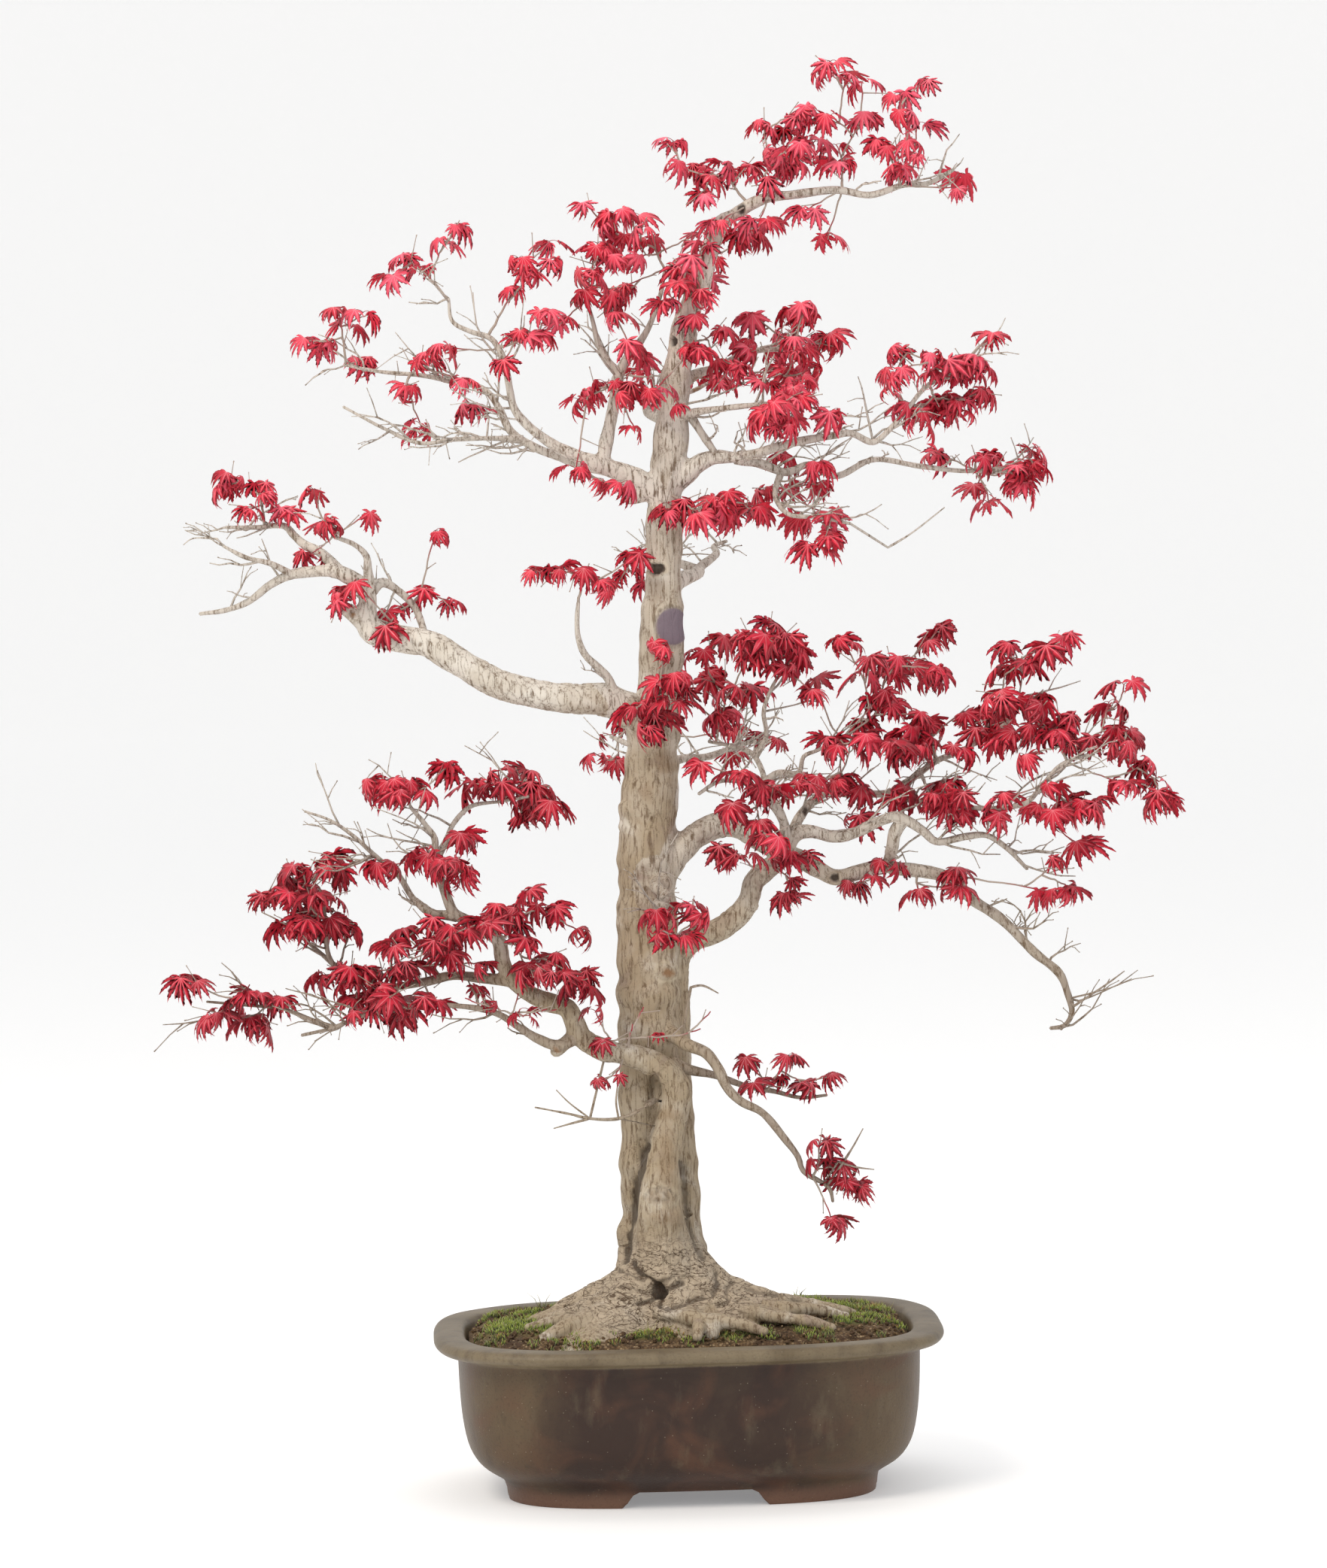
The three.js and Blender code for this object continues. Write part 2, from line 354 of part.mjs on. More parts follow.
// Turns a triangle geometry into a closed solid, with its shared corners merged.
function solidFrom(geometry) {
  const bare = geometry.clone();
  bare.deleteAttribute('normal');
  bare.deleteAttribute('uv');
  const merged = mergeVertices(bare, 1e-4);
  const corners = merged.index.array;
  const faces = [];
  for (let i = 0; i < corners.length; i += 3) {
    const [a, b, c] = corners.slice(i, i + 3);
    if (a !== b && b !== c && c !== a) faces.push(a, b, c);
  }
  const vertProperties = new Float32Array(merged.attributes.position.array);
  const triVerts = new Uint32Array(faces);
  return new wasm.Manifold(new wasm.Mesh({ numProp: 3, vertProperties, triVerts }));
}

// Puts a surveyed point in its place: what stands further back is spread to look the same from the
// front, and the whole tree leans a little to the right.
function surveyed(x, y, z) {
  const spread = 1 + y / viewDistance;
  const across = x * spread;
  const up = viewHeight + (z - viewHeight) * spread;
  return new THREE.Vector3(
    across * Math.cos(treeLean) + up * Math.sin(treeLean),
    y,
    -across * Math.sin(treeLean) + up * Math.cos(treeLean),
  );
}

// Evenly spaced places along a route's curve, with the radius at each.
function ringsOf(knots) {
  const curve = new THREE.CatmullRomCurve3(knots.map(([x, y, z]) => surveyed(x, y, z)), false, 'centripetal');
  const gaps = knots.length - 1;
  const steps = Math.ceil(gaps * (knots.length > longRoute ? longRouteSteps : 1));
  const frames = curve.computeFrenetFrames(steps, false);
  return Array.from({ length: steps + 1 }, (_, i) => {
    const place = curve.getUtoTmapping(i / steps) * gaps;
    const knot = Math.min(Math.floor(place), gaps - 1);
    return {
      centre: curve.getPointAt(i / steps),
      radius: THREE.MathUtils.lerp(knots[knot][3], knots[knot + 1][3], place - knot),
      normal: frames.normals[i],
      binormal: frames.binormals[i],
    };
  });
}

// One limb, root or stem as a bent and tapered cylinder. A swollen copy keeps its neighbours clear of it.
function limbSolid([sides, knots], extraRadius = 0) {
  const rings = ringsOf(knots);
  const steps = rings.length - 1;
  const tube = new THREE.CylinderGeometry(1, 1, 1, sides, steps);
  const place = tube.attributes.position;
  for (let i = 0; i < place.count; i += 1) {
    const { centre, radius, normal, binormal } = rings[Math.round((place.getY(i) + 0.5) * steps)];
    const corner = centre.clone()
      .addScaledVector(normal, place.getZ(i) * (radius + extraRadius))
      .addScaledVector(binormal, place.getX(i) * (radius + extraRadius));
    place.setXYZ(i, corner.x, corner.y, corner.z);
  }
  return solidFrom(tube);
}

function joinAll(solids) {
  return wasm.Manifold.union(solids);
}

const woodSolid = joinAll(Object.values(woodRoutes).map((route) => limbSolid(route)));
const woodClearance = joinAll(Object.values(woodRoutes).map((route) => limbSolid(route, fitGap)));

// Moves a round plan out to the pot's soft rectangular one. The radius gives the inset from the rim.
function toPotPlan(geometry, raise) {
  const place = geometry.attributes.position;
  for (let i = 0; i < place.count; i += 1) {
    const radius = Math.hypot(place.getX(i), place.getZ(i));
    const angle = Math.atan2(place.getZ(i), place.getX(i));
    const inset = rimHalfWidth - radius;
    const share = radius / rimHalfWidth;
    const roundness = 2 / THREE.MathUtils.lerp(2, planRoundness, Math.min(1, share * 1.2));
    const halfDepth = Math.max(rimHalfDepth - inset, rimHalfDepth * share * 0.9);
    const x = Math.sign(Math.cos(angle)) * radius * Math.abs(Math.cos(angle)) ** roundness;
    const y = Math.sign(Math.sin(angle)) * halfDepth * Math.abs(Math.sin(angle)) ** roundness;
    const turnedX = x * Math.cos(potYaw) - y * Math.sin(potYaw);
    const turnedY = x * Math.sin(potYaw) + y * Math.cos(potYaw);
    const lift = raise && place.getY(i) > floorTop + 20 ? raise(turnedX, turnedY, share) : 0;
    place.setXYZ(i, turnedX, -turnedY, place.getY(i) + lift);
  }
  return geometry;
}

function potProfile(pairs) {
  return pairs.map(([halfWidth, height]) => new THREE.Vector2(halfWidth, height));
}

// The pot: its feet, body, rolled rim, inside wall and floor in one profile from axis to axis.
const potOutside = potProfile([
  [0, floorUnderside], [133, floorUnderside], [135, 0], [149, 0], [151, 15], [166, 25], [180, 48],
  [185, 90], [185, 118], [200, 121], [rimHalfWidth, 126], [199, potHeight], [180, potHeight]]);
const potInside = potProfile([[176, 100], [172, 52], [150, floorTop], [0, floorTop]]);

// A straight-sided gap between two feet, cut right through along one side of the pot.
function footGap(halfBottom, halfTop, reach, turn) {
  const outline = new THREE.Shape();
  outline.moveTo(-halfBottom, -1);
  outline.lineTo(halfBottom, -1);
  outline.lineTo(halfBottom - 3, 6);
  outline.lineTo(halfTop, floorUnderside - 1);
  outline.lineTo(-halfTop, floorUnderside - 1);
  outline.lineTo(-halfBottom + 3, 6);
  const gap = new THREE.ExtrudeGeometry(outline, { depth: 2 * reach, bevelEnabled: false });
  gap.translate(0, 0, -reach);
  gap.rotateX(Math.PI / 2);
  gap.rotateZ(turn - potYaw);
  return solidFrom(gap);
}

function drainHole(x) {
  const hole = new THREE.CylinderGeometry(drainRadius, drainRadius, 40, 16);
  hole.rotateX(Math.PI / 2);
  hole.translate(x, 0, 20);
  return solidFrom(hole);
}

function potSolid() {
  const body = new THREE.LatheGeometry([...potOutside, ...potInside], potSegments);
  return solidFrom(toPotPlan(body))
    .subtract(footGap(footGapBottom, footGapTop, 220, 0))
    .subtract(footGap(sideGapBottom, sideGapTop, 260, Math.PI / 2))
    .subtract(drainHole(-drainOffset))
    .subtract(drainHole(drainOffset));
}

// A square of plain mesh that lies over a drain hole. A grown one is the room that it takes.
function screenSolid(x, grow = 0) {
  const side = screenSide + 2 * grow;
  const plate = new THREE.BoxGeometry(side, side, screenThick + 2 * grow);
  plate.translate(x, 0, floorTop + fitGap + screenThick / 2);
  if (grow > 0) return solidFrom(plate);
  const holes = [];
  for (const column of [-0.5, 0.5]) {
    for (const row of [-0.5, 0.5]) {
      const hole = new THREE.BoxGeometry(screenHole, screenHole, 3 * screenThick);
      hole.translate(x + column * screenPitch, row * screenPitch, floorTop + fitGap);
      holes.push(solidFrom(hole));
    }
  }
  return solidFrom(plate).subtract(joinAll(holes));
}

// Gentle hollows and humps of the soil, less at the rim.
function soilLumps(x, y, share) {
  const lumps = Math.sin(x * 0.071 + 1) * Math.cos(y * 0.083) + 0.6 * Math.sin(x * 0.16 - y * 0.13);
  return lumps * 1.6 * Math.max(0, 0.84 - share);
}

function soilSolid() {
  const under = floorTop + fitGap;
  const wallProfile = [
    [0, under], [150 - fitGap, under], [172 - fitGap, 52], [176 - fitGap, 100],
    [rimHalfWidth - soilEdgeInset, soilEdgeHeight]];
  const topProfile = [
    [164, soilEdgeHeight + 8], [124, soilEdgeHeight + 13], [70, soilEdgeHeight + soilRise],
    [0, soilEdgeHeight + soilRise]];
  const mound = new THREE.LatheGeometry(potProfile([...wallProfile, ...topProfile]), potSegments);
  return solidFrom(toPotPlan(mound, soilLumps))
    .subtract(woodClearance)
    .subtract(screenSolid(-drainOffset, fitGap))
    .subtract(screenSolid(drainOffset, fitGap));
}

// The largest closed body of a solid: loose scraps are left out.
function largestBody(solid) {
  const bodies = solid.decompose();
  return bodies.reduce((best, body) => (body.volume() > best.volume() ? body : best));
}

// Seeded draws, so that the tree is the same each time.
let drawState = 3027;
function draw(low, high) {
  drawState = (Math.imul(drawState, 1664525) + 1013904223) >>> 0;
  return low + (high - low) * (drawState / 4294967296);
}

// One leaf seen from above: angle of each lobe tip and notch from the middle lobe in degrees, and its reach
// as a share of the leaf's length.
const leafOutline = [
  [-70, 0.64], [-56, 0.3], [-38, 0.9], [-18, 0.36], [0, 1], [18, 0.36], [38, 0.9], [56, 0.3], [70, 0.64]];

// The edge of one leaf that hangs from the foot. Its side lobes hang lower, as on a half closed umbrella.
function leafEdge(foot, turn, droop, length) {
  const along = new THREE.Vector3(
    Math.cos(turn) * Math.cos(droop), Math.sin(turn) * Math.cos(droop), -Math.sin(droop));
  const sideways = new THREE.Vector3(-Math.sin(turn), Math.cos(turn), 0);
  return leafOutline.map(([degrees, reach]) => {
    const angle = THREE.MathUtils.degToRad(degrees);
    const edge = foot.clone()
      .addScaledVector(along, Math.cos(angle) * reach * length)
      .addScaledVector(sideways, Math.sin(angle) * reach * length);
    edge.z -= leafFold * Math.abs(Math.sin(angle)) * reach * length;
    return edge;
  });
}

// One shoot as one closed body: a three-sided twig along its knots that opens into a pair of opposite leaves.
// The twig meets the pair from below, or from above where it droops. A grown one is its keep-out body.
function shootSolid(knots, rootRadius, droops, grow = 0) {
  const last = knots.length - 1;
  const foot = knots[last];
  const arrival = foot.clone().sub(knots[last - 1]);
  const flip = arrival.z < 0 ? -1 : 1;
  const turn = Math.atan2(arrival.y, arrival.x);
  const waist = new THREE.Vector3(Math.cos(turn), Math.sin(turn), 0).multiplyScalar(leafWaist + grow);
  const edge = [
    ...leafEdge(foot, turn + Math.PI / 2, droops[0], leafLength + 2 * grow),
    foot.clone().sub(waist),
    ...leafEdge(foot, turn - Math.PI / 2, droops[1], leafLength + 2 * grow),
    foot.clone().add(waist),
  ];
  const rise = leafThick / 2 + grow;
  const crown = foot.clone().setZ(foot.z + flip * rise);
  const path = knots.map((knot) => knot.clone().setZ(flip * knot.z));
  const side = new THREE.Vector3(-Math.sin(turn), Math.cos(turn), 0);
  const rings = [];
  for (let i = last; i >= 0; i -= 1) {
    const along = path[Math.min(i + 1, last)].clone().sub(path[Math.max(i - 1, 0)]).normalize();
    side.addScaledVector(along, -side.dot(along)).normalize();
    const back = new THREE.Vector3().crossVectors(along, side);
    const radius = THREE.MathUtils.lerp(rootRadius, twigTipRadius, i / last) + grow;
    const centre = i === last ? path[i].clone().setZ(path[i].z - rise) : path[i];
    rings.unshift([[1, 0], [-0.5, 0.87], [-0.5, -0.87]].map(([backward, sideward]) => {
      const corner = centre.clone().addScaledVector(back, backward * radius);
      corner.addScaledVector(side, sideward * radius);
      return corner.setZ(flip * corner.z);
    }));
  }
  const edgeAt = (i) => 1 + (i % edge.length);
  const ringAt = (ring, corner) => 1 + edge.length + 3 * ring + (corner % 3);
  const behind = edgeAt(leafOutline.length);
  const before = edgeAt(edge.length - 1);
  const faces = [
    [ringAt(last, 0), behind, ringAt(last, 1)],
    [ringAt(last, 0), ringAt(last, 2), behind],
    [ringAt(last, 1), before, ringAt(last, 2)],
    [ringAt(0, 0), ringAt(0, 1), ringAt(0, 2)]];
  for (let i = 0; i < edge.length; i += 1) {
    const isLeft = i < leafOutline.length || i === edge.length - 1;
    faces.push([0, edgeAt(i), edgeAt(i + 1)], [ringAt(last, isLeft ? 1 : 2), edgeAt(i + 1), edgeAt(i)]);
  }
  for (let ring = 0; ring < last; ring += 1) {
    for (let corner = 0; corner < 3; corner += 1) {
      faces.push(
        [ringAt(ring, corner + 1), ringAt(ring, corner), ringAt(ring + 1, corner)],
        [ringAt(ring, corner + 1), ringAt(ring + 1, corner), ringAt(ring + 1, corner + 1)]);
    }
  }
  const positions = [crown, ...edge, ...rings.flat()].flatMap((at) => at.toArray());
  const shoot = new THREE.BufferGeometry();
  shoot.setAttribute('position', new THREE.Float32BufferAttribute(positions, 3));
  shoot.setIndex((flip > 0 ? faces : faces.map(([a, b, c]) => [a, c, b])).flat());
  return solidFrom(shoot);
}

// Places along the wood above the soil where a spray can spring from, with the wood's radius there.
const springPlaces = Object.entries(woodRoutes)
  .filter(([name]) => !name.startsWith('root'))
  .flatMap(([, [, knots]]) => {
    const rings = ringsOf(knots);
    return rings.slice(1).flatMap(({ centre, radius }, i) => [0.3, 0.65, 0.95].map((share) => ({
      point: rings[i].centre.clone().lerp(centre, share),
      radius: THREE.MathUtils.lerp(rings[i].radius, radius, share),
    })));
  });

// The best places on the spray so far for a new twig: near its goal, and no long way round.
function bestForks(forks, goal) {
  const cost = (fork) => fork.point.distanceTo(goal) + 0.3 * fork.wayFromRoot;
  return forks.slice().sort((a, b) => cost(a) - cost(b)).slice(0, 3);
}

// The knots of a twig that sets off in the way of its fork and turns to its goal.
function twigKnots(fork, goal, bow) {
  const reach = fork.point.distanceTo(goal);
  const middle = fork.point.clone().lerp(goal, 0.5)
    .addScaledVector(fork.heading, 0.12 * reach)
    .add(new THREE.Vector3(0.1 * bow * reach, -0.15 * bow * reach, -0.1 * reach));
  return new THREE.QuadraticBezierCurve3(fork.point, middle, goal).getPoints(twigSteps);
}

function boxesMeet(one, other) {
  return [0, 1, 2].every((axis) => one.min[axis] < other.max[axis] && one.max[axis] > other.min[axis]);
}

const taken = [];

// True where a body is clear of all the sprays that were grown before this one.
function isClear(body) {
  const box = body.boundingBox();
  return taken
    .filter((rival) => boxesMeet(box, rival.box))
    .every((rival) => body.intersect(rival.body).volume() < 1e-3);
}

// A shoot that is clear of all else and makes no loop with its own spray, or null where it is not.
function clearShoot(fork, goal, bow, droops, shoots) {
  const knots = twigKnots(fork, goal, bow);
  const rootRadius = shoots.length === 0 ? twigRootRadius : twigForkRadius;
  const guard = shootSolid(knots, rootRadius, droops, guardGap);
  const outerGuard = shootSolid(knots.slice(1), rootRadius, droops, guardGap);
  if (outerGuard.intersect(woodClearance).volume() > 1e-3 || !isClear(guard)) return null;
  const body = shootSolid(knots, rootRadius, droops);
  if (shoots.length === 0 && body.intersect(woodClearance).volume() < springHold) return null;
  const joined = joinAll([...shoots.map((shoot) => shoot.body), body]);
  const pieces = [joined, joined.subtract(woodClearance)].map((solid) => solid.decompose().length);
  return joined.genus() === 0 && pieces.every((count) => count === 1) ? { fork, knots, guard, body } : null;
}

// Tries a shoot from other forks and with other bows and droops, and leaves it out if none is clear.
function growShoot(forks, goal, shoots) {
  const tilt = draw(-0.2, 0.2);
  for (const fork of bestForks(forks, goal)) {
    for (const bow of twigBows) {
      for (const droop of leafDroops) {
        const shoot = clearShoot(fork, goal, bow, [droop + tilt, droop - tilt], shoots);
        if (shoot) return shoot;
      }
    }
  }
  return null;
}

// Grows the shoots of one spray from a place on the wood.
function growFrom(place, goals) {
  const heading = goals[0].clone().sub(place.point).normalize();
  const root = place.point.clone().addScaledVector(heading, 0.75 * Math.max(0, place.radius - springDepth));
  const forks = [{ point: root, heading, wayFromRoot: 0 }];
  const shoots = [];
  for (const goal of goals) {
    const shoot = growShoot(forks, goal, shoots);
    if (shoot) {
      shoots.push(shoot);
      const [start, elbow, tip] = shoot.knots;
      for (const share of [0, 0.4]) {
        const point = elbow.clone().lerp(tip, share);
        const wayFromRoot = shoot.fork.wayFromRoot + start.distanceTo(point);
        forks.push({ point, heading: tip.clone().sub(elbow).normalize(), wayFromRoot });
      }
    }
  }
  return shoots;
}

// True where all corners of a body stand well apart, so that none of its walls pinches to nothing.
function hasClearCorners(solid) {
  const { vertProperties } = solid.getMesh();
  const corners = [];
  for (let i = 0; i < vertProperties.length; i += 3) {
    corners.push(new THREE.Vector3().fromArray(vertProperties, i));
  }
  return corners.every((corner, i) => corners.every((other, j) => j >= i || corner.distanceTo(other) > 0.004));
}

// The shoots that the solids have of a spray: its first, and then always the one that is furthest from
// those already chosen. They are grown from the first one outwards.
function spreadOut(ends) {
  const chosen = [ends[0]];
  const room = (end) => Math.min(...chosen.map((other) => end.distanceTo(other)));
  while (chosen.length < Math.ceil(solidShare * ends.length)) {
    chosen.push(ends.reduce((best, end) => (room(end) > room(best) ? end : best)));
  }
  return chosen.sort((a, b) => a.distanceTo(ends[0]) - b.distanceTo(ends[0]));
}

// Grows a spray from the nearest wood, or from wood further off where too few of its shoots are clear.
function growSpray(ends) {
  const goals = spreadOut(ends.map(([x, y, z]) => surveyed(x, y, z)));
  const distance = (place) => place.point.distanceTo(goals[0]) - place.radius;
  const places = springPlaces.slice().sort((a, b) => distance(a) - distance(b));
  let best = { shoots: [], body: null };
  for (const place of places.filter((near, i) => i % 2 === 0).slice(0, 12)) {
    if (best.shoots.length === goals.length) break;
    const shoots = growFrom(place, goals);
    if (shoots.length > best.shoots.length) {
      const body = largestBody(joinAll(shoots.map((shoot) => shoot.body)).subtract(woodClearance));
      if (hasClearCorners(body)) best = { shoots, body };
    }
  }
  for (const { guard } of best.shoots) taken.push({ body: guard, box: guard.boundingBox() });
  return best.body;
}

function meshOf(name, solid, material) {
  const { vertProperties, triVerts } = solid.getMesh();
  const geometry = new THREE.BufferGeometry();
  geometry.setAttribute('position', new THREE.BufferAttribute(vertProperties, 3));
  geometry.setIndex(new THREE.BufferAttribute(triVerts, 1));
  geometry.computeVertexNormals();
  const mesh = new THREE.Mesh(geometry, material);
  mesh.name = name;
  return mesh;
}

const stoneware = new THREE.MeshStandardMaterial({ color: 0x6f5a4c, roughness: 0.6, metalness: 0 });
const screenPlastic = new THREE.MeshStandardMaterial({ color: 0x2b2b2b, roughness: 0.5, metalness: 0 });
const earth = new THREE.MeshStandardMaterial({ color: 0x4a3526, roughness: 0.95, metalness: 0 });
const bark = new THREE.MeshStandardMaterial({ color: 0xb8a58a, roughness: 0.85, metalness: 0 });
const springLeaf = new THREE.MeshStandardMaterial({ color: 0xb8203a, roughness: 0.55, metalness: 0 });

const bonsai = new THREE.Group();
bonsai.add(meshOf('pot', potSolid(), stoneware));
bonsai.add(meshOf('drain_screen_left', screenSolid(-drainOffset), screenPlastic));
bonsai.add(meshOf('drain_screen_right', screenSolid(drainOffset), screenPlastic));
bonsai.add(meshOf('soil', largestBody(soilSolid()), earth));
bonsai.add(meshOf('trunk_and_limbs', largestBody(woodSolid), bark));
for (const [name, ends] of Object.entries(sprays)) {
  bonsai.add(meshOf(`spray_${name}`, growSpray(ends), springLeaf));
}

// The middle of the whole box stands at x = 0 and y = 0.
const middle = new THREE.Box3().setFromObject(bonsai).getCenter(new THREE.Vector3());
for (const mesh of bonsai.children) mesh.geometry.translate(-middle.x, -middle.y, 0);

export default bonsai;
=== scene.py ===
# Deshojo Japanese maple bonsai in an unglazed stoneware pot: the finished look around its CAD solids.
# Lists of places are in millimetres as surveyed from five metres in front: x across, y depth behind the
# trunk's upright plane, z height, and r a radius. surveyed() turns them into the frame's metres.
import math
import random
import bpy
import numpy as np
from mathutils import Matrix, Vector, noise
from mathutils.kdtree import KDTree


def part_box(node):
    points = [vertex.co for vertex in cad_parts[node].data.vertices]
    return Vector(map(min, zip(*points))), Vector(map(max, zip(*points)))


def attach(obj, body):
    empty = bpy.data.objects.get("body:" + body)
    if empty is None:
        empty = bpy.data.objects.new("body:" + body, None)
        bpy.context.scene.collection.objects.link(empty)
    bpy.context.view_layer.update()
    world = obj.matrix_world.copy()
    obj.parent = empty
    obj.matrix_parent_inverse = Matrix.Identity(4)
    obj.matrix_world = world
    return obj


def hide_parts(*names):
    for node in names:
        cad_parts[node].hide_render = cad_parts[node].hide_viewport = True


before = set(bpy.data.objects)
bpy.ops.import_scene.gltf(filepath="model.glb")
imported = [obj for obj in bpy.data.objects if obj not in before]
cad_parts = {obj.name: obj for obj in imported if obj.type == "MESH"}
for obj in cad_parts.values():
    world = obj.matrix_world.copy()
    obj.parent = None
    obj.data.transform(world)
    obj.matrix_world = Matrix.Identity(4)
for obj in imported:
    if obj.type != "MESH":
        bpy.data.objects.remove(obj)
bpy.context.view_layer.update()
print("frame loaded with", len(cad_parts), "solids")

survey = {
    "distance": 5000.0,  # mm from the viewer to the trunk's plane
    "height": 890.0,     # mm, the viewer's eye above the table
    "lean": 1.25,        # degrees that the tree leans to the right
    "aim": (-22.0, 0.0, 566.0),
    "pixelsPerRadian": 8333.0,
    "pixelsHigh": 2085,
}
leanAngle = math.radians(survey["lean"])
potLow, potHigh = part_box("pot")
originX = (potLow[0] + potHigh[0]) / 2
originY = (potLow[1] + potHigh[1]) / 2


def surveyed(x, y, z):
    spread = 1 + y / survey["distance"]
    across = x * spread
    up = survey["height"] + (z - survey["height"]) * spread
    return Vector((
        (across * math.cos(leanAngle) + up * math.sin(leanAngle)) / 1000 + originX,
        y / 1000 + originY,
        (-across * math.sin(leanAngle) + up * math.cos(leanAngle)) / 1000))


def standing(x, y, z):
    # a place in mm from the middle of the pot at table height
    return Vector((x / 1000 + originX, y / 1000 + originY, z / 1000))


def linear(hexColour):
    parts = [int(hexColour[i:i + 2], 16) / 255 for i in (1, 3, 5)]
    return tuple(p / 12.92 if p <= 0.04045 else ((p + 0.055) / 1.055) ** 2.4 for p in parts) + (1.0,)


def addNode(tree, kind, settings, inputs):
    # inputs are given as numbers, as sRGB hex colours or as the sockets that feed them
    node = tree.nodes.new(kind)
    for key, value in settings.items():
        setattr(node, key, value)
    for key, value in inputs.items():
        if isinstance(value, bpy.types.NodeSocket):
            tree.links.new(value, node.inputs[key])
        elif isinstance(value, str):
            node.inputs[key].default_value = linear(value)
        else:
            node.inputs[key].default_value = value
    return node


def newMaterial(name, roughness, refraction):
    material = bpy.data.materials.new(name)
    material.use_nodes = True
    tree = material.node_tree
    tree.nodes.clear()
    shader = addNode(tree, "ShaderNodeBsdfPrincipled", {}, {"Roughness": roughness, "IOR": refraction})
    addNode(tree, "ShaderNodeOutputMaterial", {}, {"Surface": shader.outputs["BSDF"]})
    place = addNode(tree, "ShaderNodeTexCoord", {}, {}).outputs["Object"]
    return material, tree, shader, place


asColour = {"data_type": "RGBA"}


def layered(tree, colour, layers):
    # lays colours over one another: each is laid where its mask rises from low to high, up to a share
    for mask, low, high, most, above in layers:
        share = addNode(tree, "ShaderNodeMapRange", {}, {0: mask, 1: low, 2: high, 4: most}).outputs[0]
        colour = addNode(tree, "ShaderNodeMix", asColour, {0: share, 6: colour, 7: above}).outputs[2]
    return colour


def paintCorners(mesh, layers):
    # keeps three values at each corner, which the materials read by name
    for key, values in layers.items():
        layer = mesh.color_attributes.new(key, "FLOAT_COLOR", "POINT")
        colours = np.ones((len(mesh.vertices), 4), dtype=np.float32)
        colours[:, :3] = np.clip(values, 0, 1)
        layer.data.foreach_set("color", colours.ravel())


def meshPiece(name, corners, faces, material, smooth=True, attributes=None):
    mesh = bpy.data.meshes.new(name)
    corners = np.asarray(corners, dtype=np.float32)
    mesh.from_pydata(corners.tolist(), [], faces if isinstance(faces, list) else faces.tolist())
    mesh.update()
    mesh.polygons.foreach_set("use_smooth", [smooth] * len(mesh.polygons))
    paintCorners(mesh, attributes or {})
    piece = bpy.data.objects.new(name, mesh)
    bpy.context.collection.objects.link(piece)
    mesh.materials.append(material)
    return piece


def unit(way):
    return way / max(np.linalg.norm(way), 1e-6)


def applyModifiers(piece):
    evaluated = piece.evaluated_get(bpy.context.evaluated_depsgraph_get())
    piece.data = bpy.data.meshes.new_from_object(evaluated)
    piece.modifiers.clear()


def softStep(low, high, value):
    share = np.clip((value - low) / (high - low), 0, 1)
    return share * share * (3 - 2 * share)


pot = {
    "rimHalfWidth": 204.0, "rimHalfDepth": 150.0, "height": 132.0,  # mm
    "yaw": -2.5,            # degrees: its left end stands a little nearer
    "planRoundness": 3.4, "depthShare": 0.9,
    "footGap": (59.0, 46.0), "sideGap": (40.0, 30.0),  # half widths at the ground and at the top
    "gapTop": 13.0, "footInside": 151.5,
    "cornerSlope": 0.62,    # which places belong to the long sides
    "drainSides": 40,
    "drain": (74.0, 12.0),  # place and radius
    "segments": 224,
    "waver": 0.7,           # mm that the hand-pressed walls wander
    "rim": "#5E513C", "rimPale": "#7A6D56", "rimDark": "#43372A",
    # the body's middle colour is darkened by painted shade; its ends are paler olive, partly fired colour
    # and partly painted side light and sheen
    "bodyMiddleWithShade": "#2E1D14", "bodySideWithLight": "#584833", "foot": "#644838", "stain": "#6E634E",
    "scorch": "#2B1E17", "speck": "#A69C88", "rust": "#5A3A27",
}
potYaw = math.radians(pot["yaw"])


def potPlan(radius, angle):
    share = radius / pot["rimHalfWidth"]
    roundness = 2 / (2 + (pot["planRoundness"] - 2) * np.minimum(1, share * 1.2))
    halfDepth = np.maximum(pot["rimHalfDepth"] - (pot["rimHalfWidth"] - radius),
                           pot["rimHalfDepth"] * share * pot["depthShare"])
    x = np.sign(np.cos(angle)) * radius * np.abs(np.cos(angle)) ** roundness
    y = np.sign(np.sin(angle)) * halfDepth * np.abs(np.sin(angle)) ** roundness
    # the place as it stands in the frame, and the place on the pot's own long and short axis
    return (x * math.cos(potYaw) - y * math.sin(potYaw),
            -(x * math.sin(potYaw) + y * math.cos(potYaw)), x, y)


def smoothProfile(knots, perGap):
    knots = np.array(knots, dtype=float)
    padded = np.vstack([2 * knots[0] - knots[1], knots, 2 * knots[-1] - knots[-2]])
    points = []
    for i in range(1, len(padded) - 2):
        a, b, c, d = padded[i - 1:i + 3]
        for t in np.linspace(0, 1, perGap, endpoint=False):
            points.append(0.5 * (2 * b + (c - a) * t + (2 * a - 5 * b + 4 * c - d) * t * t
                                 + (3 * b - a - 3 * c + d) * t ** 3))
    return np.vstack([points, knots[-1]])


def latheFaces(rings, segments, closed):
    faces = []
    for i in range(rings - 1):
        for j in range(segments):
            k = (j + 1) % segments
            low, high = i * segments, (i + 1) * segments
            faces.append((low + j, low + k, high + k, high + j))
    if closed:
        faces.append(tuple(reversed(range(segments))))
        faces.append(tuple((rings - 1) * segments + j for j in range(segments)))
    return faces
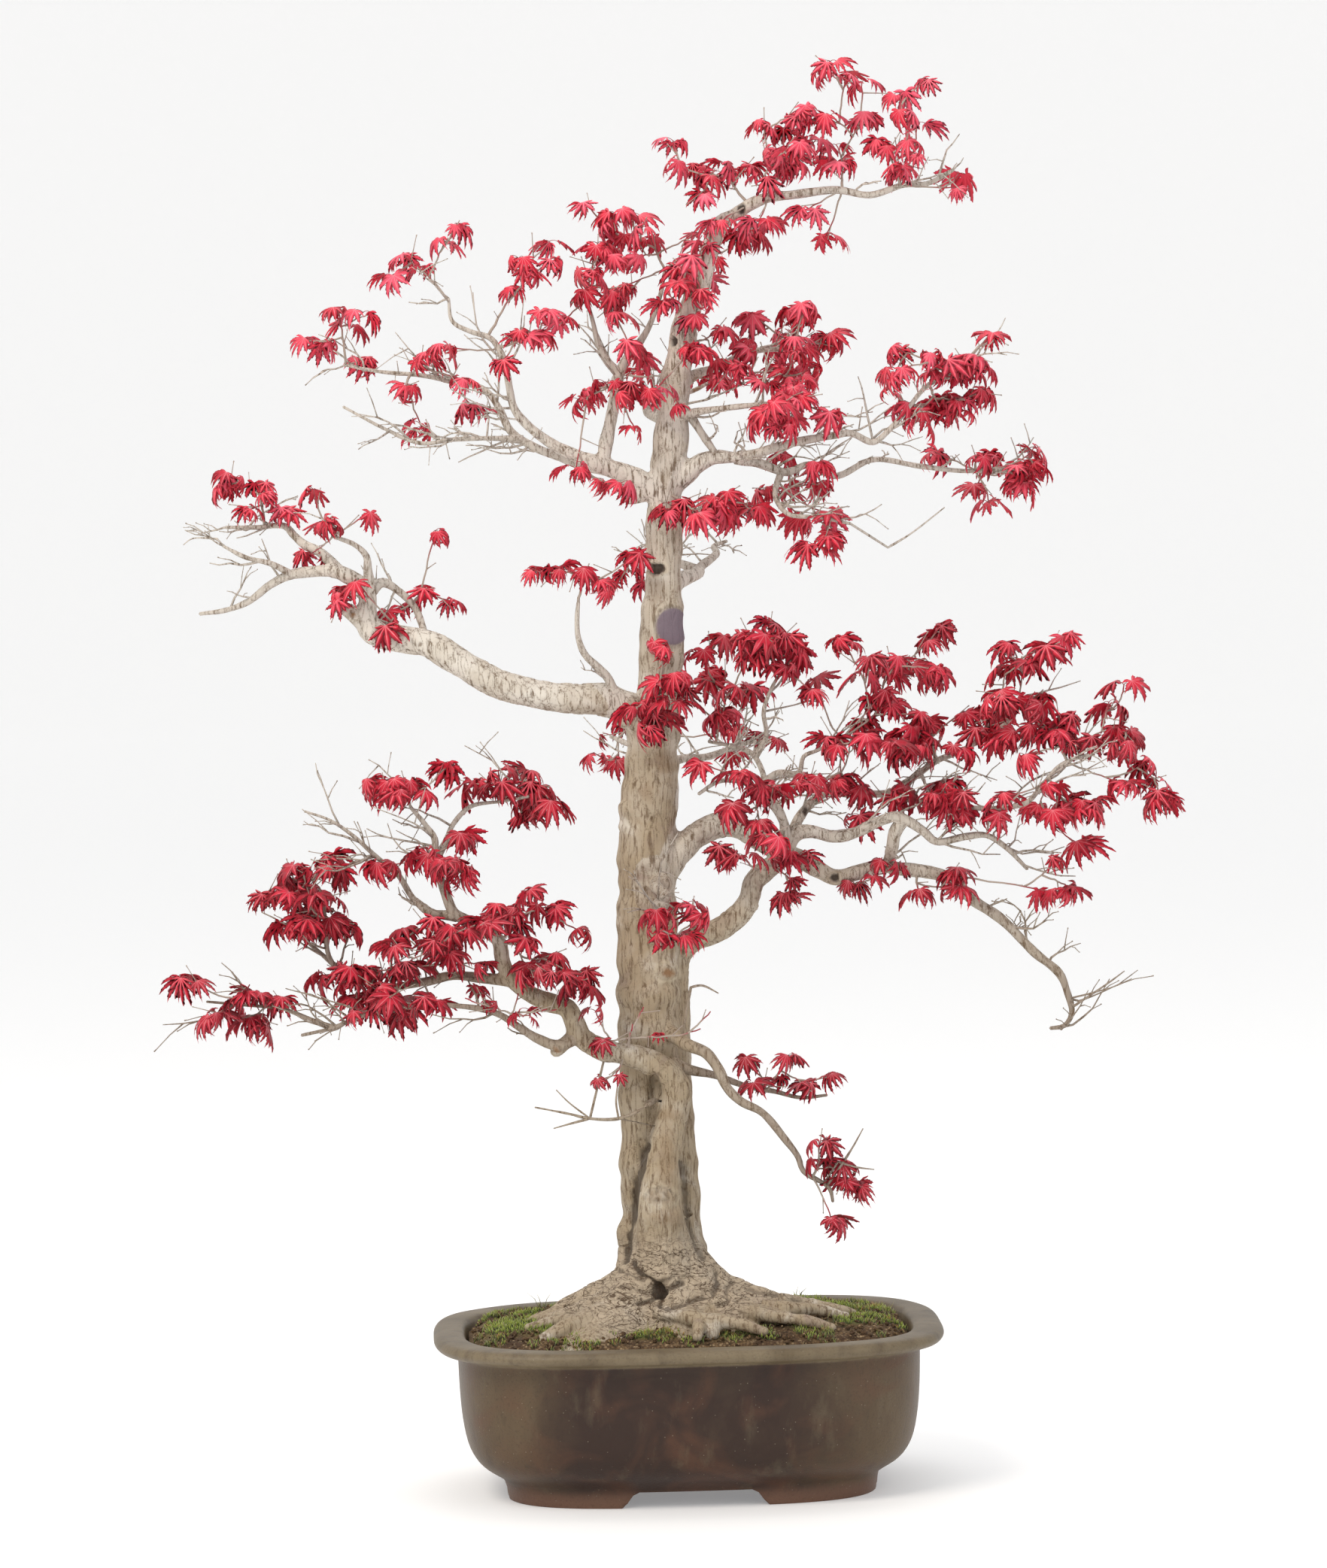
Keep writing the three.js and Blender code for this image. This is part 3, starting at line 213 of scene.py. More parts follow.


# unglazed stoneware, pressed and wood fired: dry satin, taupe on the rim and reddish brown on the body, its
# middle darkened by painted shade and its ends a paler olive, partly fired colour and partly painted side
# light and sheen
def makeStoneware():
    material, tree, shader, place = newMaterial("unglazedStoneware", 0.55, 1.52)
    painted = addNode(tree, "ShaderNodeAttribute", {"attribute_name": "kilnAndSideLight"}, {}).outputs["Color"]
    rimShare, endAndSideLightShare, footShare = addNode(tree, "ShaderNodeSeparateColor", {}, {"Color": painted}).outputs
    drawnOut = addNode(tree, "ShaderNodeMapping", {}, {"Vector": place, "Scale": (1, 1, 0.35)}).outputs[0]
    # 80 mm flame clouds, 20 mm runs and wipe marks, 2 mm grog, and 50 mm rusty flashes of the flame
    cloud, runs, grain, flash = [addNode(tree, "ShaderNodeTexNoise", {}, {
        "Vector": where, "Scale": scale, "Detail": detail, "Roughness": rough,
        "Distortion": swirl}).outputs[0]
        for where, scale, detail, rough, swirl in (
            (place, 12.0, 5.0, 0.6, 0.8), (drawnOut, 46.0, 6.0, 0.65, 0.0),
            (place, 520.0, 3.0, 0.7, 0.0), (place, 20.0, 3.0, 0.5, 1.0))]
    # the ends' paler olive is partly fired colour and partly painted side light and sheen; the dark middle
    # is painted shade
    side = addNode(tree, "ShaderNodeMath", {"operation": "MULTIPLY_ADD"}, {
        0: cloud, 1: 1.3, 2: endAndSideLightShare}).outputs[0]
    specks = addNode(tree, "ShaderNodeTexVoronoi", {}, {"Vector": place, "Scale": 170.0}).outputs["Distance"]
    edge = addNode(tree, "ShaderNodeMath", {"operation": "MULTIPLY_ADD"}, {
        0: runs, 1: 0.5, 2: rimShare}).outputs[0]
    rim = layered(tree, pot["rim"], [
        (cloud, 0.35, 0.7, 1.0, pot["rimPale"]),
        (runs, 0.5, 0.3, 0.6, pot["rimDark"])])
    colour = layered(tree, pot["bodyMiddleWithShade"], [
        (side, 0.7, 1.7, 1.0, pot["bodySideWithLight"]),
        (flash, 0.45, 0.75, 0.6, pot["rust"]),
        (runs, 0.56, 0.8, 0.4, pot["stain"]),
        (runs, 0.44, 0.26, 0.6, pot["scorch"]),
        (edge, 0.5, 0.95, 1.0, rim),
        (footShare, 0.0, 1.0, 1.0, pot["foot"]),
        (specks, 0.09, 0.04, 0.35, pot["speck"]),
        (grain, 0.48, 0.3, 0.35, pot["scorch"])])
    tree.links.new(colour, shader.inputs["Base Color"])
    shader.inputs["Specular IOR Level"].default_value = 0.3
    roughness = addNode(tree, "ShaderNodeMapRange", {}, {0: grain, 3: 0.36, 4: 0.56}).outputs[0]
    tree.links.new(roughness, shader.inputs["Roughness"])
    height = addNode(tree, "ShaderNodeMath", {"operation": "MULTIPLY_ADD"}, {
        0: runs, 1: 1.8, 2: grain}).outputs[0]
    bump = addNode(tree, "ShaderNodeBump", {}, {"Height": height, "Distance": 0.0005, "Strength": 0.5})
    tree.links.new(bump.outputs[0], shader.inputs["Normal"])
    return material


def makePot():
    outside = [(133.5, 14.0), (134.6, 1.6), (136.5, 0.0), (147.0, 0.0), (149.0, 1.6), (150.6, 13.0),
               (154.0, 17.2), (166.0, 25.4), (173.8, 34.0), (179.4, 46.0), (182.8, 64.0), (184.4, 86.0),
               (184.9, 108.0), (185.2, 115.6), (187.6, 118.4), (194.0, 119.6), (200.4, 121.4),
               (203.6, 124.6), (203.8, 127.6), (201.2, 130.8), (196.0, 131.9), (186.0, 131.9),
               (180.8, 130.8), (178.4, 127.0)]
    inside = [(176.0, 100.0), (172.0, 52.0), (162.0, 34.0), (150.0, 25.2)]
    profile = np.vstack([smoothProfile([(100.0, 14.0), (130.0, 14.0)], 2), smoothProfile(outside, 3),
                         smoothProfile(inside, 3), [(100.0, 25.0)]])
    count = pot["segments"]
    angle = np.linspace(0, 2 * math.pi, count, endpoint=False)
    radius, turn = np.meshgrid(profile[:, 0], angle, indexing="ij")
    z = np.repeat(profile[:, 1:2], count, axis=1)
    high = softStep(14, 60, z)
    waver = np.array([[noise.noise(Vector((math.cos(a) * 2.2, math.sin(a) * 2.2, h * 0.012))) for a in angle]
                      for h in profile[:, 1]])
    radius = np.maximum(1.0, radius - pot["waver"] * high * (0.5 + waver) * (radius > 150))
    z = z - 0.5 * softStep(118, 131, z) * (0.5 + np.roll(waver, 40, axis=1))
    x, y, planX, planY = potPlan(radius, turn)
    # the gaps between the four feet
    isFoot = (z < pot["gapTop"]) & (radius < pot["footInside"])
    for along, (bottom, top) in ((planX, pot["footGap"]), (planY, pot["sideGap"])):
        rise = pot["gapTop"] * softStep(bottom, top, np.abs(along))
        isFront = np.abs(planY) > np.abs(planX) * pot["cornerSlope"]
        isSide = isFront if along is planX else ~isFront
        z = np.where(isFoot & isSide, np.maximum(z, rise), z)
    corners = np.stack([x / 1000 + originX, y / 1000 + originY, z / 1000], axis=-1).reshape(-1, 3)
    # how much a place belongs to the rim, to the ends and to the feet; the ends' share also lays painted
    # side light
    kilnAndSideLight = np.stack([softStep(114, 120, z), softStep(40, 190, np.abs(x) + 30 * waver), softStep(16, 6, z)],
                    axis=-1).reshape(-1, 3)
    piece = meshPiece("pot_body", corners, latheFaces(len(profile), count, True), makeStoneware(),
                      attributes={"kilnAndSideLight": kilnAndSideLight})
    # two drain holes through the floor
    bpy.ops.mesh.primitive_cylinder_add(
        vertices=pot["drainSides"], radius=pot["drain"][1] / 1000, depth=0.04)
    cutter = bpy.context.object
    for side in (-1, 1):
        cutter.location = (originX + side * pot["drain"][0] / 1000, originY, 0.02)
        bpy.context.view_layer.update()
        cut = piece.modifiers.new("drainHole", "BOOLEAN")
        cut.object = cutter
        cut.operation = "DIFFERENCE"
        cut.solver = "EXACT"
        applyModifiers(piece)
    bpy.data.objects.remove(cutter)
    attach(piece, "root")
    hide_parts("pot")
    print("pot made with", len(piece.data.polygons), "faces")


makePot()


fullTurn = 6.28     # radians, the largest random turn
soil = {
    "edgeInset": 28.2, "edgeHeight": 126.0, "rise": 17.0,  # mm
    "rings": 84, "sides": 176,
    "wall": [(0.5, 25.6), (149.4, 25.6), (171.4, 52.0), (175.4, 100.0)],    # mm, half width and height
    "rough": 2.2, "bedLift": 1.6,                          # mm, height of lumps and of the moss beds' earth
    "openHalf": (174, 124), "openShare": 172, "mossShare": 175,     # mm, how far grains and moss may lie
    "crumbs": 1700, "crumbSize": (0.9, 2.3),               # mm
    "largeCrumbs": (0.12, 1.5),                            # share of the grains, and how much larger
    "earth": "#7B6343", "pale": "#B49C78", "dark": "#332317", "damp": "#4F3A28", "green": "#5E6A2A",
    "moss": ("#56691F", "#A4B23E", "#B98545", "#8F8C44"), "smallBeds": 200,
    # moss beds: x, y, how wide and which colour
    "mossBeds": [(-140, -34, 26, 0), (-112, -52, 20, 0), (-150, -4, 16, 0), (-128, 30, 14, 0),
                 (-84, -78, 15, 0), (-10, -84, 13, 2), (14, -78, 12, 0), (-34, -90, 9, 0),
                 (30, -92, 8, 2), (58, -84, 11, 0), (96, -66, 15, 0), (128, -40, 13, 0), (150, -8, 12, 0),
                 (118, 34, 20, 0), (92, 62, 17, 0), (66, 84, 13, 0), (142, 20, 9, 2), (-60, 74, 15, 0),
                 (-20, 84, 18, 0), (30, 78, 12, 0), (-100, 66, 14, 0), (76, -40, 8, 0), (-66, -56, 8, 2)],
    "mossBlade": (2.6, 5.4),    # mm tall
    "bladeDensity": 0.42,       # a bed's width in mm, squared, times this is its number of blades
    "bareMiddle": 96.0,         # mm around the trunk without small beds, but for the front
    "highest": 145.5,           # mm
    "grassBlade": (9, 19), "grassRoot": "#5B5A2A", "grassTip": "#A89B62",
    "grassTufts": [(160, -2, 7), (90, 92, 5), (-30, -98, 4), (112, -58, 4), (-118, 44, 4)],  # x, y, blades
}


def soilHeight(share, x, y):
    # share is the half width at that place, in mm
    height = np.interp(share, [0, 70, 124, 164, 176],
                       [soil["edgeHeight"] + soil["rise"], soil["edgeHeight"] + soil["rise"],
                        soil["edgeHeight"] + 13, soil["edgeHeight"] + 8, soil["edgeHeight"]])
    lumps = (np.sin(x * 0.071 + 1) * np.cos(y * 0.083) + 0.6 * np.sin(x * 0.16 - y * 0.13)) * 1.6
    return height + lumps * np.clip(0.84 - share / pot["rimHalfWidth"], 0, 1) - 1.0


def potShare(x, y):
    # the half width of the pot's plan ring that passes through a place
    low, high = 0.0, pot["rimHalfWidth"]
    flatX = x * math.cos(potYaw) - y * math.sin(potYaw)
    flatY = x * math.sin(potYaw) + y * math.cos(potYaw)
    for _ in range(18):
        middle = (low + high) / 2
        share = middle / pot["rimHalfWidth"]
        power = 2 + (pot["planRoundness"] - 2) * min(1, share * 1.2)
        narrowed = pot["rimHalfDepth"] - (pot["rimHalfWidth"] - middle)
        depth = max(narrowed, pot["rimHalfDepth"] * share * pot["depthShare"], 1e-6)
        inside = (abs(flatX) / max(middle, 1e-6)) ** power + (abs(flatY) / depth) ** power < 1
        low, high = (low, middle) if inside else (middle, high)
    return (low + high) / 2


# moist granular bonsai soil: dull, dark, with pale pumice grains and moss where it stays damp
def makeEarth():
    material, tree, shader, place = newMaterial("granularSoil", 0.92, 1.4)
    painted = addNode(tree, "ShaderNodeAttribute", {"attribute_name": "bed"}, {}).outputs["Color"]
    bed = addNode(tree, "ShaderNodeSeparateColor", {}, {"Color": painted}).outputs[0]
    # 25 mm damp patches and 2 mm grains
    patches = addNode(tree, "ShaderNodeTexNoise", {}, {
        "Vector": place, "Scale": 40.0, "Detail": 4.0, "Roughness": 0.6}).outputs[0]
    grains = addNode(tree, "ShaderNodeTexVoronoi", {}, {"Vector": place, "Scale": 480.0}).outputs
    colour = layered(tree, soil["damp"], [
        (patches, 0.35, 0.65, 1.0, soil["earth"]),
        (grains["Color"], 0.66, 0.88, 0.75, soil["pale"]),
        (grains["Distance"], 0.2, 0.75, 0.8, soil["dark"]),
        (bed, 0.0, 1.0, 0.85, soil["green"])])
    tree.links.new(colour, shader.inputs["Base Color"])
    bump = addNode(tree, "ShaderNodeBump", {}, {
        "Height": grains["Distance"], "Distance": 0.0008, "Strength": 0.6})
    tree.links.new(bump.outputs[0], shader.inputs["Normal"])
    return material


def makeSoil(earth):
    angle = np.linspace(0, 2 * math.pi, soil["sides"], endpoint=False)
    wall = soil["wall"]
    top = np.linspace(pot["rimHalfWidth"] - soil["edgeInset"], 1.0, soil["rings"])
    radii = np.concatenate([[r for r, _ in wall], top])
    radius, turn = np.meshgrid(radii, angle, indexing="ij")
    x, y, _, _ = potPlan(radius, turn)
    z = np.zeros_like(x)
    for i, (_, height) in enumerate(wall):
        z[i] = height
    z[len(wall):] = soilHeight(radius[len(wall):], x[len(wall):], y[len(wall):])
    rough = np.array([noise.turbulence(Vector((a / 9, b / 9, 3.3)), 3, False)
                      for a, b in zip(x.ravel(), y.ravel())])
    z[len(wall):] += (rough.reshape(x.shape)[len(wall):] - 0.5) * soil["rough"]
    beds = np.zeros_like(x)
    for bedX, bedY, wide, _ in soil["mossBeds"]:
        near = np.exp(-((x - bedX) ** 2 + (y - bedY) ** 2) / (wide * 0.75) ** 2)
        beds = np.maximum(beds, near)
        z[len(wall):] += soil["bedLift"] * near[len(wall):]
    z = np.minimum(z, soil["highest"])
    corners = np.stack([x / 1000 + originX, y / 1000 + originY, z / 1000], axis=-1).reshape(-1, 3)
    bed = np.repeat(np.clip(beds * 1.3, 0, 1).reshape(-1, 1), 3, axis=1)
    piece = meshPiece("soil_mound", corners, latheFaces(len(radii), len(angle), True), earth,
                      attributes={"bed": bed})
    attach(piece, "root")
    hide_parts("soil")


def onSoil(draws):
    # a random place on the open soil, with its height
    halfX, halfY = soil["openHalf"]
    while True:
        x, y = draws.uniform(-halfX, halfX), draws.uniform(-halfY, halfY)
        share = potShare(x, y)
        if share < soil["openShare"]:
            return x, y, float(soilHeight(np.array(share), np.array(x), np.array(y)))


def makeCrumbs(earth):
    # loose grains that lie on the mound and break its edge
    draws = random.Random(41)
    golden = (1 + 5 ** 0.5) / 2
    ball = np.array([(-1, golden, 0), (1, golden, 0), (-1, -golden, 0), (1, -golden, 0), (0, -1, golden),
                     (0, 1, golden), (0, -1, -golden), (0, 1, -golden), (golden, 0, -1), (golden, 0, 1),
                     (-golden, 0, -1), (-golden, 0, 1)]) / 1.9
    ballFaces = np.array([(0, 11, 5), (0, 5, 1), (0, 1, 7), (0, 7, 10), (0, 10, 11), (1, 5, 9), (5, 11, 4),
                          (11, 10, 2), (10, 7, 6), (7, 1, 8), (3, 9, 4), (3, 4, 2), (3, 2, 6), (3, 6, 8),
                          (3, 8, 9), (4, 9, 5), (2, 4, 11), (6, 2, 10), (8, 6, 7), (9, 8, 1)])
    many, larger = soil["largeCrumbs"]
    corners, faces = [], []
    for _ in range(soil["crumbs"]):
        x, y, z = onSoil(draws)
        size = draws.uniform(*soil["crumbSize"])
        size *= larger if draws.random() < many else 1
        squeeze = size * np.array([draws.uniform(0.7, 1.2), draws.uniform(0.7, 1.2),
                                   draws.uniform(0.5, 0.9)])
        uneven = np.array([[draws.uniform(0.8, 1.15)] for _ in ball])
        turn = (Matrix.Rotation(draws.uniform(0, fullTurn), 3, "Z")
                @ Matrix.Rotation(draws.uniform(-0.6, 0.6), 3, "X"))
        stone = (ball * uneven * squeeze) @ np.array(turn).T
        stone += (x, y, z + size * 0.25)
        faces.extend((ballFaces + len(corners) * 12).tolist())
        corners.append(stone)
    corners = np.vstack(corners) / 1000 + (originX, originY, 0)
    piece = meshPiece("soil_crumbs", corners, faces, earth, smooth=False,
                      attributes={"bed": np.zeros((len(corners), 3))})
    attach(piece, "root")


# living moss and grass: soft matt green, paler at the tips
def makeMossy():
    material, tree, shader, _ = newMaterial("livingMoss", 0.8, 1.4)
    tint = addNode(tree, "ShaderNodeAttribute", {"attribute_name": "tint"}, {}).outputs["Color"]
    tree.links.new(tint, shader.inputs["Base Color"])
    shader.inputs["Sheen Weight"].default_value = 0.25
    return material


def makeMoss():
    draws = random.Random(7)
    corners, faces, tints = [], [], []

    def blade(x, y, z, tall, wide, lean, turn, root, tip):
        base = len(corners)
        side = (math.cos(turn + 1.57) * wide, math.sin(turn + 1.57) * wide)
        ahead = (math.cos(turn), math.sin(turn))
        for level, share in ((0, 1.0), (0.55, 0.8)):
            reach = lean * tall * level * level
            for a, b in ((1, 0), (-0.5, 0.87), (-0.5, -0.87)):
                corners.append((x + ahead[0] * (reach + a * wide * share) + side[0] * b * share,
                                y + ahead[1] * (reach + a * wide * share) + side[1] * b * share,
                                z + tall * level))
                tints.append(root if level == 0 else [(p + q) / 2 for p, q in zip(root, tip)])
        corners.append((x + ahead[0] * lean * tall, y + ahead[1] * lean * tall, z + tall))
        tints.append(tip)
        for k in range(3):
            m = (k + 1) % 3
            faces.append((base + k, base + m, base + 3 + m, base + 3 + k))
            faces.append((base + 3 + k, base + 3 + m, base + 6))
        faces.append((base + 2, base + 1, base))

    # small cushions between the beds, most of them along the front
    beds = list(soil["mossBeds"])
    for _ in range(soil["smallBeds"]):
        x, y, _ = onSoil(draws)
        if potShare(x, y) > soil["bareMiddle"] or y < -60:
            beds.append((x, y, draws.uniform(4, 10), draws.choice((0, 0, 2, 3, 3))))
    for bedX, bedY, wide, kind in beds:
        for _ in range(int(wide * wide * soil["bladeDensity"])):
            reach = wide * math.sqrt(draws.random()) * draws.uniform(0.75, 1.05)
            turn = draws.uniform(0, fullTurn)
            x, y = bedX + reach * math.cos(turn), bedY + reach * math.sin(turn)
            share = potShare(x, y)
            if share > soil["mossShare"]:
                continue
            z = float(soilHeight(np.array(share), np.array(x), np.array(y))) + 1.2 * (1 - reach / wide)
            orange = kind == 2 and draws.random() < 0.5
            tone = 2 if orange else 3 if kind == 3 else 1
            tip = linear(soil["moss"][tone])[:3]
            root = linear(soil["moss"][0])[:3]
            light = draws.uniform(0.6, 1.2)
            blade(x, y, z - 0.6, draws.uniform(*soil["mossBlade"]), draws.uniform(0.35, 0.6),
                  draws.uniform(0.1, 0.7), draws.uniform(0, fullTurn), root, [c * light for c in tip])
    for tuftX, tuftY, count in soil["grassTufts"]:
        share = potShare(tuftX, tuftY)
        z = float(soilHeight(np.array(share), np.array(tuftX), np.array(tuftY)))
        for _ in range(count):
            blade(tuftX + draws.uniform(-3, 3), tuftY + draws.uniform(-3, 3), z - 1,
                  draws.uniform(*soil["grassBlade"]), 0.4, draws.uniform(0.2, 0.9),
                  draws.uniform(0, fullTurn), linear(soil["grassRoot"])[:3], linear(soil["grassTip"])[:3])
    corners = np.array(corners) / 1000 + (originX, originY, 0)
    piece = meshPiece("moss_and_grass", corners, faces, makeMossy(), attributes={"tint": np.array(tints)})
    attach(piece, "root")


earth = makeEarth()
makeSoil(earth)
makeCrumbs(earth)
makeMoss()
print("soil, crumbs and moss laid")


